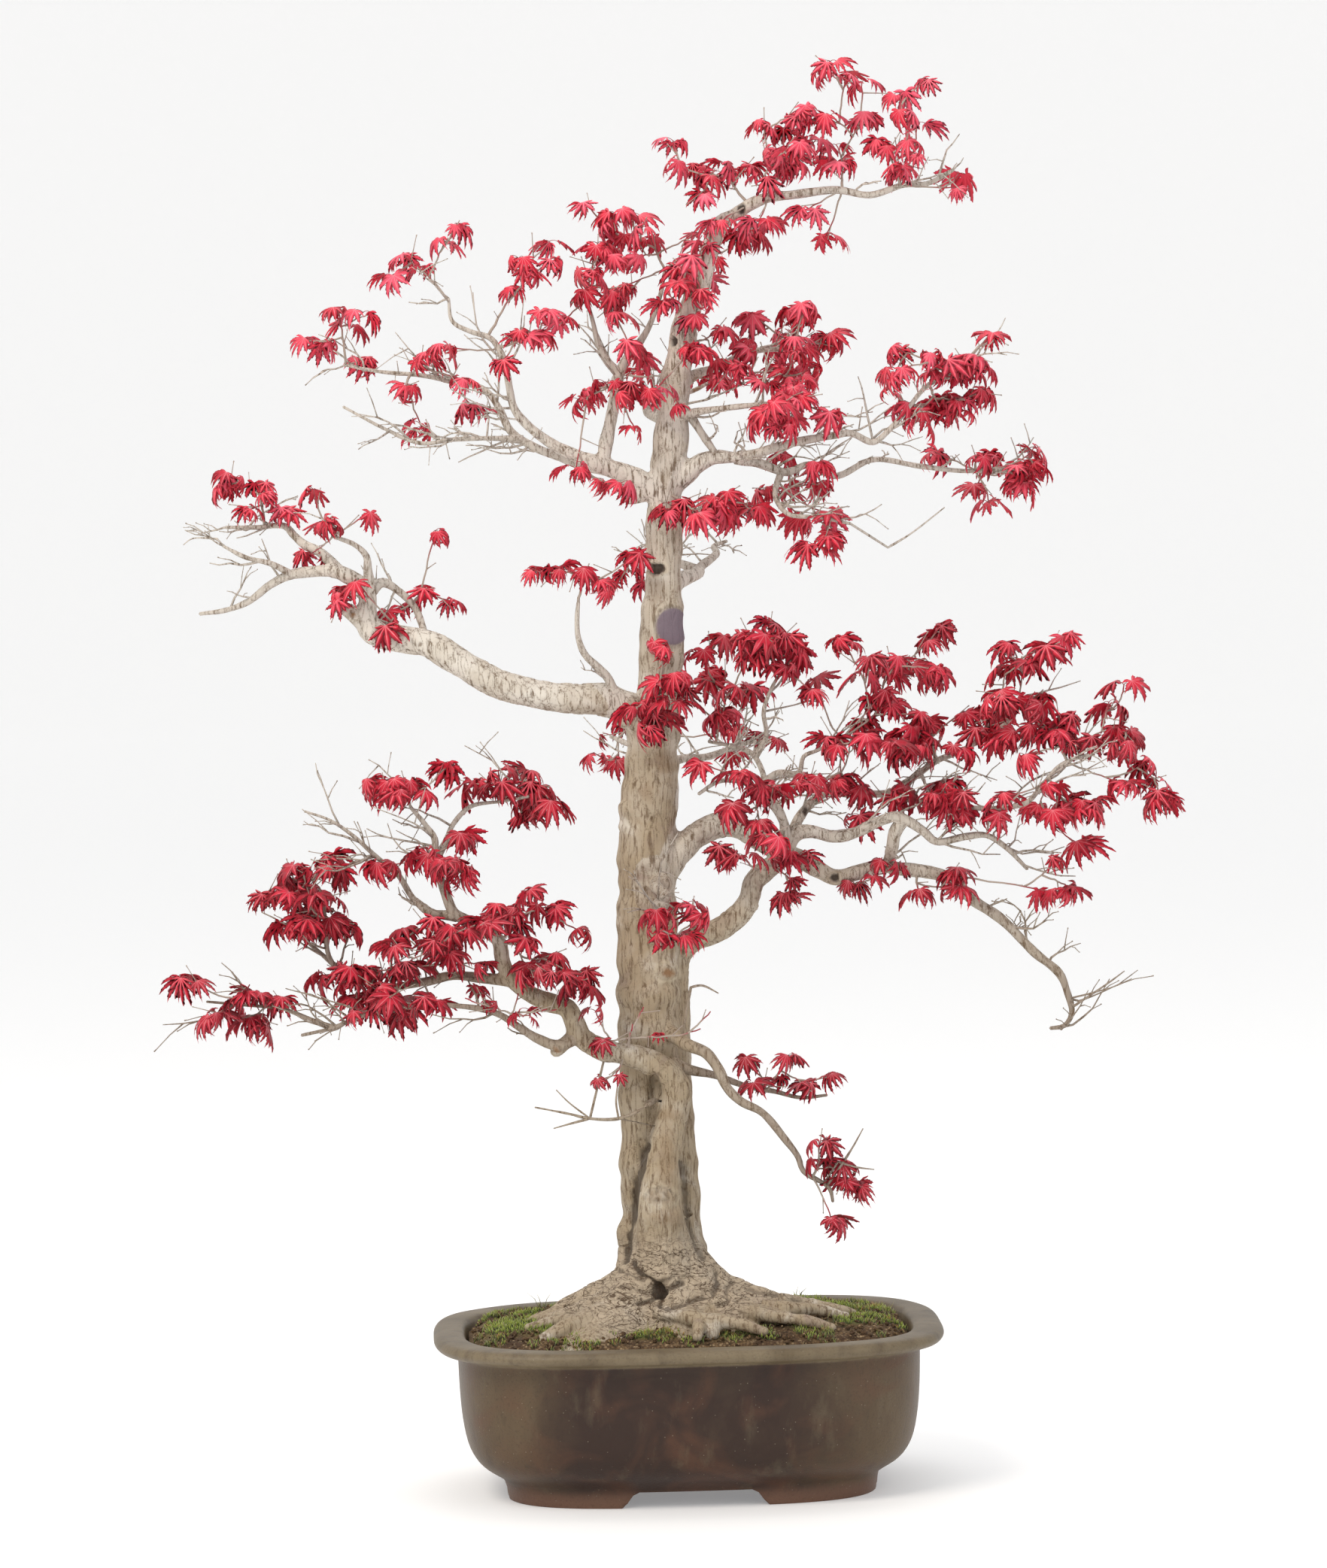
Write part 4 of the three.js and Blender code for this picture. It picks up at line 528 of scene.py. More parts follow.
# centrelines of the wood, each knot x, y, z and r
woodRoutes = {
    "trunk": [(-30, 0, 100, 34), (-31, 0, 150, 33), (-31, 0, 178, 29.5), (-31, 1, 232, 26),
        (-33, 2, 304, 25), (-34, 4, 412, 24), (-35, 5, 472, 23.7), (-34, 6, 532, 23.2),
        (-31, 6, 592, 21.3), (-25, 5, 652, 18.3), (-22, 3, 741, 15), (-21, 1, 790, 14),
        (-18, -1, 820, 14.4), (-15, -3, 852, 12.9), (-12, -5, 892, 12), (-7, -7, 913, 11.2),
        (-5, -9, 932, 10.4), (6, -11, 962, 8.6), (13, -13, 986, 7.8), (22, -15, 1010, 6.6)],
    "apex": [(16, -14, 996, 6), (24, -16, 1013, 6.2), (36, -17, 1020, 5.6), (46, -18, 1027, 5),
        (61, -20, 1033, 4.2), (79, -21, 1035, 3.7), (116, -22, 1039, 3.1), (142, -22, 1035, 2.7),
        (169, -20, 1043, 2.4), (187, -18, 1044, 2.1), (196, -16, 1048, 1.9), (208, -14, 1055, 1.5)],
    "frontStem": [(-22, -24, 120, 28), (-22, -25, 172, 25), (-26, -24, 208, 20.5), (-27, -22, 244, 18.5),
        (-22, -20, 280, 16.5), (-15, -20, 304, 14.5), (-11, -24, 319, 12.4), (-17, -31, 332, 10.6),
        (-32, -36, 342, 10), (-48, -40, 348, 9.5), (-71, -43, 353, 9), (-88, -45, 363, 8.6),
        (-94, -46, 376, 8.2), (-99, -47, 386, 8), (-112, -48, 390, 7.6), (-130, -50, 398, 7),
        (-144, -51, 410, 6.5), (-151, -52, 424, 6), (-154, -52, 440, 5.5), (-167, -52, 449, 5.2),
        (-179, -51, 456, 4.8), (-190, -50, 463, 4.4), (-196, -49, 477, 4), (-201, -48, 491, 3.5),
        (-205, -47, 506, 3.1), (-205, -46, 522, 2.7), (-213, -44, 534, 2.1), (-224, -42, 547, 1.5)],
    "rearStem": [(-10, 10, 120, 28), (-10, 11, 178, 24), (-11, 12, 232, 18.5), (-12, 14, 304, 14.5),
        (-13, 15, 352, 13), (-13, 17, 388, 12), (-13, 18, 412, 11), (-9, 18, 430, 10.5), (4, 17, 442, 9.6),
        (22, 15, 449, 9), (40, 12, 463, 9), (47, 10, 475, 8.6), (50, 9, 487, 8.3), (60, 8, 497, 8.2),
        (72, 7, 506, 8), (77, 6, 517, 7.2), (83, 5, 526, 6.6), (96, 3, 528, 5.8), (113, 0, 524, 5.2),
        (131, -4, 527, 4.8), (150, -7, 536, 4.6), (164, -8, 540, 4.4), (174, -8, 536, 4),
        (186, -8, 528, 3.6), (196, -8, 520, 3.2), (220, -10, 524, 2.8), (236, -11, 525, 2.4),
        (251, -12, 516, 2), (269, -12, 498, 1.5)],
    "limbLowRight": [(-22, 4, 496, 12), (-8, 6, 513, 11), (3, 10, 524, 10.4), (19, 14, 532, 10.2),
        (34, 17, 533, 9.8), (49, 18, 525, 9), (67, 15, 514, 8), (85, 13, 507, 7.2), (101, 14, 498, 7),
        (116, 15, 491, 6.8), (133, 16, 495, 6.3), (150, 17, 500, 6), (168, 18, 498, 5.6),
        (192, 20, 495, 5.2), (211, 21, 489, 5), (223, 22, 475, 4.6), (248, 24, 458, 4.2),
        (275, 26, 431, 3.8), (295, 27, 414, 3.4), (301, 28, 400, 2.9), (305, 29, 382, 2.3),
        (299, 30, 372, 1.9), (288, 31, 370, 1.4)],
    "limbLink": [(170, -7, 538, 4.2), (163, -3, 527, 4.6), (161, 5, 514, 4.8), (157, 14, 503, 4.6)],
    "limbMidLeft": [(-32, 2, 606, 15), (-48, -4, 623, 14.6), (-67, -8, 633, 13.5), (-95, -11, 634, 12.6),
        (-128, -12, 639, 12), (-158, -12, 648, 11.6), (-189, -11, 666, 11.4), (-209, -10, 678, 11),
        (-228, -9, 681, 10.5), (-244, -8, 683, 10.2), (-256, -7, 690, 9.8), (-259, -6, 703, 8.4),
        (-258, -5, 715, 7.4), (-263, -4, 725, 6.8), (-274, -2, 732, 6.2), (-283, 0, 736, 5.4),
        (-299, 3, 736, 4.7), (-320, 6, 733, 4), (-336, 9, 725, 3.3), (-353, 12, 712, 2.7),
        (-371, 14, 705, 2.1), (-392, 15, 702, 1.5)],
    "stubMidLeft": [(-257, -7, 692, 8), (-266, -8, 699, 7.6), (-275, -9, 706, 6.4)],
    "limbMidLeftRise": [(-258, -5, 716, 5.6), (-257, -12, 726, 4.6), (-258, -17, 738, 3.4),
        (-259, -20, 748, 2.7), (-268, -24, 757, 2), (-286, -26, 764, 1.4)],
    "limbMidLeftFan": [(-278, -1, 733, 5), (-289, 8, 745, 4.4), (-297, 15, 752, 4), (-308, 21, 757, 3.6),
        (-317, 26, 765, 3.1), (-324, 29, 772, 2.6), (-347, 31, 771, 1.9), (-371, 30, 771, 1.4)],
    "limbMidLeftLoop": [(-257, -4, 720, 4.6), (-246, 4, 727, 3.6), (-233, 10, 720, 3),
        (-221, 12, 708, 2.8), (-215, 6, 694, 3), (-212, -6, 682, 3.2)],
    "twigMidLeftOuter": [(-318, 6, 733, 2.6), (-335, -4, 742, 2.1), (-355, -10, 747, 1.8),
        (-373, -14, 756, 1.3)],
    "limbSmallLeft": [(-60, -8, 630, 5.5), (-66, -14, 650, 3.6), (-74, -18, 659, 3), (-85, -22, 670, 2.7),
        (-90, -24, 683, 2.3), (-91, -25, 697, 2), (-90, -25, 711, 1.5)],
    "limbHighLeft": [(-20, 0, 794, 11), (-37, -4, 806, 9.2), (-56, -8, 815, 8), (-71, -11, 820, 7.2),
        (-89, -14, 827, 5.5), (-110, -17, 837, 4.4), (-131, -20, 853, 3.8), (-141, -22, 866, 3.4),
        (-145, -23, 884, 3), (-149, -24, 904, 2.6), (-159, -25, 921, 2.3), (-176, -25, 927, 2),
        (-190, -24, 935, 1.7), (-193, -22, 953, 1.3)],
    "collarHighLeft": [(-34, -2, 800, 8), (-45, -5, 797, 8), (-52, -7, 794, 5.5)],
    "limbHighLeftLow": [(-64, -9, 818, 5.6), (-80, -2, 819, 4.4), (-104, 8, 827, 3.8),
        (-125, 16, 835, 3.5), (-144, 22, 848, 3.1), (-153, 26, 866, 2.8), (-165, 29, 881, 2.4),
        (-189, 32, 887, 2.1), (-215, 34, 892, 1.8), (-248, 35, 895, 1.6), (-275, 34, 900, 1.3)],
    "twigHighLeftBare": [(-134, 19, 841, 2.8), (-160, 13, 842, 1.9), (-190, 6, 841, 1.8),
        (-215, 2, 838, 1.6), (-243, 0, 849, 1.4), (-277, 0, 867, 1.1)],
    "limbHighUpright": [(-71, -10, 816, 6.4), (-68, -8, 837, 5.6), (-64, -5, 856, 5), (-60, -1, 878, 4.5),
        (-58, 2, 892, 4), (-67, 4, 904, 3), (-74, 5, 917, 2.4), (-78, 4, 934, 1.9), (-83, 2, 952, 1.3)],
    "limbHighUprightFork": [(-59, 1, 888, 3.8), (-53, 8, 903, 3.3), (-44, 13, 914, 3), (-35, 16, 928, 2.6),
        (-29, 18, 942, 2.2), (-24, 18, 958, 1.8), (-21, 16, 976, 1.3)],
    "limbHighRight": [(-17, 0, 803, 11), (-4, -4, 814, 8.8), (8, -7, 823, 7.6), (19, -10, 827, 6.4),
        (37, -14, 827, 4.4), (52, -17, 830, 3.8), (79, -20, 838, 3.4), (112, -22, 844, 3),
        (127, -21, 846, 2.8), (145, -19, 839, 2.5), (157, -17, 848, 2.3), (172, -13, 865, 2.1),
        (187, -9, 883, 1.9), (214, -4, 898, 1.7), (229, 0, 915, 1.3)],
    "limbHighRightLow": [(36, -13, 826, 4), (55, -2, 822, 3.6), (76, 10, 815, 3.2), (94, 18, 821, 2.9),
        (115, 25, 812, 2.6), (145, 32, 825, 2.4), (181, 37, 820, 2.1), (217, 40, 816, 1.8),
        (247, 42, 817, 1.4)],
    "limbHighRightBrace": [(-9, -6, 868, 4), (-1, -8, 860, 3.5), (9, -10, 845, 3.1), (20, -11, 829, 3)],
    "limbHighRightDrop": [(72, 8, 816, 2.4), (67, -2, 797, 2), (77, -14, 782, 1.8), (103, -22, 779, 1.5),
        (127, -27, 774, 1.2)],
    "limbUpperRight": [(-10, -4, 884, 5), (4, 6, 893, 4), (22, 16, 899, 3), (44, 24, 910, 2.5),
        (70, 29, 913, 2.1), (98, 31, 912, 1.6)],
    "limbUpperRightFront": [(-12, -8, 858, 4), (5, -20, 863, 3), (27, -31, 866, 2.4), (57, -38, 869, 1.9),
        (92, -42, 871, 1.4)],
    "limbHeartRight": [(79, 6, 518, 5.4), (86, 14, 538, 4.2), (106, 29, 558, 3.3), (133, 35, 558, 3.1),
        (163, 38, 560, 3), (179, 40, 572, 2.8), (197, 42, 585, 2.6), (215, 44, 592, 2.4),
        (232, 44, 602, 2.1), (253, 43, 616, 1.8), (268, 41, 637, 1.4)],
    "limbHeartRightLow": [(158, 37, 559, 3.2), (178, 21, 553, 2.6), (196, 4, 549, 2.4),
        (220, -8, 547, 2.2), (250, -16, 547, 2.1), (268, -20, 551, 2), (280, -23, 564, 1.8),
        (295, -26, 581, 1.6), (318, -28, 590, 1.3)],
    "limbHeartFront": [(77, 6, 516, 4.6), (73, -4, 538, 3.4), (53, -28, 560, 2.6), (40, -42, 568, 2.2),
        (22, -52, 568, 1.8), (6, -56, 558, 1.4)],
    "limbHeartRear": [(78, 7, 517, 4.8), (72, 14, 542, 3.4), (60, 28, 562, 2.8), (57, 36, 576, 2.5),
        (49, 46, 590, 2.2), (34, 56, 596, 1.8), (14, 62, 600, 1.4)],
    "limbHeartRise": [(59, 32, 568, 2.5), (70, 26, 575, 2.3), (86, 20, 575, 2.1), (90, 16, 588, 1.8),
        (101, 12, 593, 1.6), (119, 8, 602, 1.3)],
    "limbHeartHigh": [(51, 44, 588, 2.1), (60, 38, 604, 1.9), (58, 32, 624, 1.7), (64, 26, 642, 1.5),
        (72, 22, 656, 1.2)],
    "limbLowLeftOuter": [(-142, -50, 408, 5.6), (-166, -44, 410, 4.2), (-191, -36, 412, 3.7),
        (-215, -30, 407, 3.4), (-240, -25, 403, 3), (-262, -22, 407, 2.6), (-280, -20, 414, 2.3),
        (-290, -20, 428, 2), (-293, -20, 454, 1.8), (-294, -18, 477, 1.3)],
    "twigLowLeftOuter": [(-276, -21, 412, 2.4), (-300, -13, 433, 1.7), (-318, -8, 448, 1.3)],
    "limbLowLeftUnder": [(-92, -45, 364, 5.4), (-106, -52, 356, 4.6), (-122, -58, 361, 3.7),
        (-137, -63, 370, 3.1), (-152, -66, 380, 2.7), (-167, -68, 385, 2.4), (-191, -70, 388, 2.1),
        (-215, -70, 388, 1.9), (-239, -68, 384, 1.8), (-263, -65, 380, 1.8), (-287, -60, 370, 1.7),
        (-312, -56, 364, 1.3)],
    "stubLowLeft": [(-96, -47, 362, 5.8), (-106, -49, 353, 5.4), (-110, -50, 350, 4.8)],
    "twigLowLeftFar": [(-286, -60, 370, 1.8), (-305, -44, 377, 1.6), (-326, -34, 385, 1.5),
        (-353, -28, 388, 1.3), (-388, -26, 391, 1.1)],
    "limbLowLeftHigh": [(-188, -50, 460, 3.8), (-209, -40, 463, 3.2), (-223, -33, 475, 2.6),
        (-235, -28, 494, 2.2), (-250, -24, 506, 1.9), (-271, -20, 525, 1.5), (-289, -18, 537, 1.2),
        (-309, -16, 544, 1)],
    "limbLowLeftBack": [(-205, -47, 504, 3), (-196, -30, 520, 2.4), (-190, -12, 534, 2.1),
        (-176, 2, 548, 1.8), (-152, 12, 552, 1.5), (-130, 18, 556, 1.2)],
    "limbLowRightFront": [(-16, -14, 366, 7), (-8, -26, 360, 5.4), (-2, -32, 356, 5), (12, -38, 350, 4.6),
        (22, -42, 337, 4.2), (29, -44, 322, 4), (40, -46, 311, 3.6), (57, -48, 302, 3.2),
        (75, -50, 281, 2.8), (86, -51, 266, 2.4), (90, -52, 255, 2.2), (111, -52, 241, 1.7),
        (114, -52, 230, 1.2)],
    "limbLowRightSide": [(-16, -16, 340, 6), (0, -14, 336, 3.8), (19, -8, 332, 3), (45, -2, 323, 2.4),
        (67, 2, 319, 2), (88, 4, 314, 1.6), (109, 4, 316, 1.2)],
    "limbBackLow": [(-26, 14, 556, 11), (-20, 34, 568, 8.6), (-24, 60, 576, 6.8), (-38, 86, 574, 5.4),
        (-46, 112, 582, 4.4), (-40, 138, 594, 3.4), (-50, 160, 598, 2.6), (-64, 182, 604, 1.6)],
    "limbBackLowFork": [(-30, 74, 576, 4.6), (-8, 92, 586, 3.4), (14, 108, 588, 2.8), (34, 126, 596, 2.1),
        (52, 148, 600, 1.4)],
    "limbBackMid": [(-22, 6, 712, 9), (-10, 26, 728, 6.6), (4, 48, 734, 5.2), (8, 74, 740, 4.1),
        (20, 98, 750, 3.1), (18, 122, 756, 2.2), (28, 140, 760, 1.5)],
    "limbBackMidFork": [(6, 60, 736, 3.8), (-14, 78, 744, 2.9), (-34, 92, 746, 2.3), (-52, 110, 752, 1.5)],
    "limbBackHigh": [(-14, 2, 846, 7), (-22, 22, 856, 4.8), (-34, 42, 862, 3.6), (-38, 62, 872, 2.8),
        (-52, 82, 878, 2), (-66, 96, 884, 1.4)],
    "limbBackHighFork": [(-34, 44, 864, 3), (-16, 60, 874, 2.4), (2, 76, 880, 1.9), (14, 94, 886, 1.3)],
    "limbFrontMid": [(-22, -12, 486, 8), (-28, -30, 484, 5), (-20, -48, 476, 4), (-28, -68, 470, 3.2),
        (-20, -86, 468, 2.4), (-30, -104, 464, 1.5)],
    "rootLeft": [(-34, -2, 168, 22), (-66, -6, 154, 18), (-92, -10, 143, 14), (-118, -14, 133, 10),
        (-142, -14, 122, 7)],
    "rootLeftFront": [(-34, -12, 160, 22), (-56, -40, 146, 17), (-76, -62, 136, 13), (-100, -78, 127, 9),
        (-120, -88, 118, 6)],
    "rootFront": [(-22, -26, 150, 20), (-12, -56, 140, 14), (8, -78, 132, 10), (18, -98, 122, 7)],
    "rootRightFront": [(-8, -14, 158, 22), (24, -38, 148, 16), (52, -52, 139, 11), (82, -56, 132, 8),
        (106, -68, 122, 6)],
    "rootRight": [(-8, 4, 166, 24), (26, 0, 157, 18), (54, -2, 149, 14), (82, 4, 142, 11),
        (108, 2, 135, 8), (132, 10, 124, 6)],
    "rootBackRight": [(-10, 10, 160, 20), (16, 40, 146, 13), (40, 66, 136, 9), (66, 84, 124, 6)],
    "rootBack": [(-22, 12, 158, 22), (-28, 44, 145, 14), (-20, 74, 134, 9), (-28, 98, 122, 6)],
    "rootBackLeft": [(-34, 8, 158, 20), (-64, 36, 144, 13), (-92, 56, 133, 9), (-116, 70, 121, 6)],
}


def bentLine(start, middle, end, steps):
    t = np.linspace(0, 1, steps + 1)[:, None]
    return start * (1 - t) ** 2 + middle * 2 * t * (1 - t) + end * t ** 2


bark = {
    "trunkVoxel": 1.6,          # mm
    "thick": 4.6,               # mm, wood of a larger radius is grown into one skin
    "sampleGap": 3.0,           # mm between rings
    "upper": "#D2CBBF", "lower": "#9F8F76", "fissure": "#614C35", "twig": "#94877A", "shade": "#2C2016",
    "highTwig": "#BEB6AB",
    "grey": "#8C7A70", "wound": "#756870", "torn": "#86603C", "ring": "#C9BCA2", "white": "#D6D0C4",
    "foot": "#B4A48E",
    "fleck": "#6B5A44", "stain": "#7E6448", "wrinkle": "#4E3B28",
    "lumps": 0.9, "fissureDepth": 0.7,
    "stemForward": 5.0,         # mm that the front stem stands out further
    "twiglets": 290,            # bare fine twigs along the limbs, with these measures in metres
    "twigletLength": (0.02, 0.062), "twigletRadii": (0.0011, 0.00042), "twigletShake": 0.0011,
    "twigletForks": (1, 3), "twigletDepth": 0.165, "budRadii": (0.0006, 0.00045, 0.00034, 0.0006),
    "trunkFaces": 185000,
}
# marks on the bark as seen from the front: x, z, half width, half height, kind, depth in mm and ring height
barkMarks = [
    (-15, 692, 13, 15, "wound", 1.2, 0.3), (-14, 919, 3.2, 4.6, "hole", -3.0, 0.8),
    (-28, 738, 8, 5, "hole", -2.6, 1.8), (1, 961, 6, 9, "torn", -1.0, 0.8),
    (5, 881, 4, 11, "torn", -1.0, 0.6), (40, 1024, 4, 5, "hole", -1.0, 0.5),
    (-54, 540, 5, 14, "knob", 3.0, 0.0), (-20, 415, 8, 6.5, "stub", 3.4, 1.4),
    (-25, 234, 12.5, 7.5, "eye", 0.4, 0.5), (91, 545, 4, 5, "hole", -0.8, 0.4),
    (115, 491, 4, 4, "hole", -1.4, 0.8), (-269, 701, 4, 4, "stub", 1.6, 0.6),
    (-97, 382, 5, 6, "knob", 1.6, 0.6), (-107, 352, 4, 4, "stub", 1.6, 0.6),
    (50, 469, 4, 5, "knob", 1.4, 0.0), (157, 514, 4, 5, "knob", 1.2, 0.0),
    (-17, 300, 15, 5, "tint", 0, 0), (-19, 262, 8, 34, "tint", 0, 0), (-18, 218, 14, 9, "tint", 0, 0),
    (-27, 722, 7, 14, "tint", 0, 0), (-26, 158, 7, 6, "hole", -4.0, 0.0),
    (-25, 234, 4, 3, "tint", 1.0, 0), (-22, 584, 8, 12, "tint", 0, 0), (-36, 560, 6, 9, "tint", 0, 0)
]
# valleys between stems and cracks at the foot: depth, half width and darkness, then places x, z
barkSeams = [
    (4.5, 3.0, 0.35, [(-30, 328), (-31, 316), (-34, 292), (-39, 275)]),
    (5.0, 3.2, 0.85, [(-39, 275), (-42, 255), (-47, 237), (-49, 220), (-52, 194), (-54, 184)]),
    (3.6, 2.0, 0.6, [(-6, 262), (-5, 250), (-3, 233), (-1, 215), (6, 194), (11, 184)]),
    (3.0, 2.0, 0.9, [(-48, 182), (-42, 174), (-31, 165), (-23, 158), (-25, 146)]),
    (2.4, 1.8, 0.8, [(-5.6, 165), (-15, 161), (-23, 158)]),
    (2.4, 1.6, 0.8, [(-23, 158), (-31, 151), (-42, 148)]),
    (3.0, 1.8, 0.7, [(-20, 143), (1, 151), (17, 155), (23, 165), (21, 172)]),
    (1.8, 1.4, 0.6, [(-62, 176), (-50, 172), (-40, 168), (-30, 160)]),
    (1.6, 1.3, 0.5, [(-58, 163), (-46, 160), (-34, 156)]),
    (1.6, 1.3, 0.5, [(-10, 172), (-16, 167), (-24, 164)]),
    (1.8, 1.4, 0.6, [(34, 166), (28, 158), (30, 150), (22, 146)]),
    (1.6, 1.3, 0.5, [(46, 160), (58, 156), (72, 153)]),
]
# how far the foot of the trunk spreads at the soil, by direction in degrees from the right, and in mm
footSpread = [(-180, 84), (-150, 98), (-122, 106), (-90, 84), (-60, 92), (-30, 108), (0, 116), (45, 88),
              (90, 78), (140, 86), (180, 84)]
# the flare above them, in mm: its height, and how hollow its outline is
skirt = {
    "middle": (-19, -5), "top": 222, "low": 126, "flareHeight": 82, "neck": 27, "hollow": 2.3,
    "rings": 26, "sides": 96,
}
# knobbly roots that lie on the soil
surfaceRoots = [
    [(-24, -66, 152, 7), (0, -84, 149, 6.5), (20, -90, 147, 6), (44, -96, 144, 4.8), (62, -98, 138, 4)],
    [(18, -50, 155, 8), (44, -58, 150, 7), (66, -66, 146, 5.6), (98, -74, 142, 4.8), (116, -74, 136, 4)],
    [(60, -44, 150, 7), (84, -40, 147, 6), (104, -30, 145, 5), (128, -26, 138, 4)],
    [(10, -84, 147, 5.4), (9, -104, 142, 5), (8, -112, 136, 4)],
    [(-70, -40, 152, 9), (-96, -36, 146, 7), (-118, -26, 140, 5)],
    [(-88, -62, 144, 6), (-104, -50, 143, 5), (-128, -48, 137, 4)],
    [(74, -20, 150, 7), (92, -4, 146, 6), (120, -8, 141, 5), (134, 4, 136, 4)],
]
# bare twigs that end in buds: places x, y, z and a radius
bareTwigs = [
    [(-30, -38, 312, 1.6), (-37, -48, 306, 1.4), (-58, -58, 297, 1.3), (-81, -62, 297, 1.2),
     (-99, -64, 301, 1.0), (-125, -66, 306, 0.6)],
    [(-81, -62, 297, 1.1), (-96, -66, 293, 0.9), (-110, -68, 289, 0.5)],
    [(-81, -62, 297, 0.8), (-98, -60, 310, 0.6), (-108, -58, 320, 0.4)],
    [(-58, -58, 297, 0.9), (-60, -60, 310, 0.8), (-58, -62, 330, 0.6)],
    [(307, 10, 388, 1.0), (335, 12, 407, 0.8), (347, 14, 416, 0.5)],
    [(320, 11, 398, 0.8), (340, 12, 404, 0.6), (353, 13, 410, 0.4)],
    [(123, -60, 263, 1.0), (131, -62, 276, 0.8), (138, -64, 289, 0.5)],
    [(118, -58, 262, 0.9), (132, -58, 258, 0.7), (147, -58, 256, 0.4)],
    [(157, 0, 755, 1.0), (175, 2, 766, 0.8), (202, 4, 787, 0.5)],
    [(-309, -16, 544, 0.9), (-322, -14, 551, 0.6), (-330, -12, 556, 0.4)],
    [(-378, 0, 762, 0.9), (-398, 2, 762, 0.6), (-405, 3, 757, 0.4)],
    [(0, -40, 403, 1.2), (10, -52, 404, 0.9), (22, -58, 398, 0.5)],
]


def curvePoints(knots, gap, placed=surveyed):
    # a centripetal Catmull-Rom curve through the knots, with its radius beside each point
    places = [np.array(placed(*knot[:3])) for knot in knots]
    radii = [knot[3] / 1000 for knot in knots]
    padded = [2 * places[0] - places[1]] + places + [2 * places[-1] - places[-2]]
    points, sizes = [], []
    for i in range(len(places) - 1):
        a, b, c, d = padded[i:i + 4]
        ta, tb, tc = (max(np.linalg.norm(q - p), 1e-6) ** 0.5 for p, q in ((a, b), (b, c), (c, d)))
        start = ((b - a) / ta - (c - a) / (ta + tb) + (c - b) / tb) * tb
        end = ((c - b) / tb - (d - b) / (tb + tc) + (d - c) / tc) * tb
        count = max(2, int(np.linalg.norm(c - b) * 1000 / gap))
        for t in np.linspace(0, 1, count, endpoint=False):
            points.append(b * (2 * t ** 3 - 3 * t ** 2 + 1) + start * (t ** 3 - 2 * t ** 2 + t)
                          + c * (3 * t ** 2 - 2 * t ** 3) + end * (t ** 3 - t ** 2))
            sizes.append(radii[i] + (radii[i + 1] - radii[i]) * (t * t * (3 - 2 * t)))
    points.append(places[-1])
    sizes.append(radii[-1])
    return np.array(points), np.array(sizes)


def tube(points, radii, sides):
    # rings of corners along a line, turned without twist, closed at both ends
    ways = np.gradient(points, axis=0)
    ways /= np.maximum(np.linalg.norm(ways, axis=1, keepdims=True), 1e-9)
    normal = np.cross(ways[0], (0.31, 0.95, 0.12))
    normal /= np.linalg.norm(normal)
    corners = []
    angle = np.linspace(0, 2 * math.pi, sides, endpoint=False)
    for place, way, radius in zip(points, ways, radii):
        normal = normal - way * np.dot(normal, way)
        normal /= np.linalg.norm(normal)
        other = np.cross(way, normal)
        corners.append(place + radius * (np.outer(np.cos(angle), normal) + np.outer(np.sin(angle), other)))
    count = len(points)
    first = len(points) * sides
    corners = np.vstack(corners + [points[0] - ways[0] * radii[0] * 0.3,
                                   points[-1] + ways[-1] * radii[-1] * 0.7])
    ring = np.arange(count - 1)[:, None] * sides
    j = np.arange(sides)[None, :]
    k = (j + 1) % sides
    low = np.stack([ring + j, ring + k, ring + sides + k], axis=-1).reshape(-1, 3)
    high = np.stack([ring + j, ring + sides + k, ring + sides + j], axis=-1).reshape(-1, 3)
    j, k = np.arange(sides), (np.arange(sides) + 1) % sides
    foot = np.stack([k, j, np.full(sides, first)], axis=-1)
    top = np.stack([(count - 1) * sides + j, (count - 1) * sides + k, np.full(sides, first + 1)], axis=-1)
    return corners, np.vstack([low, high, foot, top])


def joined(parts):
    corners, faces, start = [], [], 0
    for partCorners, partFaces in parts:
        corners.append(partCorners)
        faces.append(partFaces + start)
        start += len(partCorners)
    return np.vstack(corners), np.vstack(faces)


routeLines = {name: curvePoints(knots, bark["sampleGap"]) for name, knots in woodRoutes.items()}
for name, (points, radii) in routeLines.items():
    # limbs swell a little at their nodes
    radii *= np.array([1 + 0.14 * noise.noise(Vector(point * 75)) for point in points])
    if name == "frontStem":
        rise = softStep(0.36, 0.3, points[:, 2]) * softStep(0.15, 0.24, points[:, 2])
        points[:, 1] -= bark["stemForward"] / 1000 * rise


def turbulence(places, scale):
    return np.array([noise.turbulence(Vector(p), 3, False) for p in (places * scale).tolist()])


def plainNoise(places, scale):
    return np.array([noise.noise(Vector(p)) for p in (places * scale).tolist()])


def surveyBack(corners):
    # survey x and z in mm of places in the frame, as the marks are listed
    x = (corners[:, 0] - originX) * 1000
    y = (corners[:, 1] - originY) * 1000
    z = corners[:, 2] * 1000
    across = x * math.cos(leanAngle) - z * math.sin(leanAngle)
    up = x * math.sin(leanAngle) + z * math.cos(leanAngle)
    spread = 1 + y / survey["distance"]
    return across / spread, (up - survey["height"]) / spread + survey["height"], y


def vertexValues(mesh, kind):
    values = np.empty(len(mesh.vertices) * 3, dtype=np.float32)
    mesh.vertices.foreach_get(kind, values)
    return values.reshape(-1, 3).astype(float)


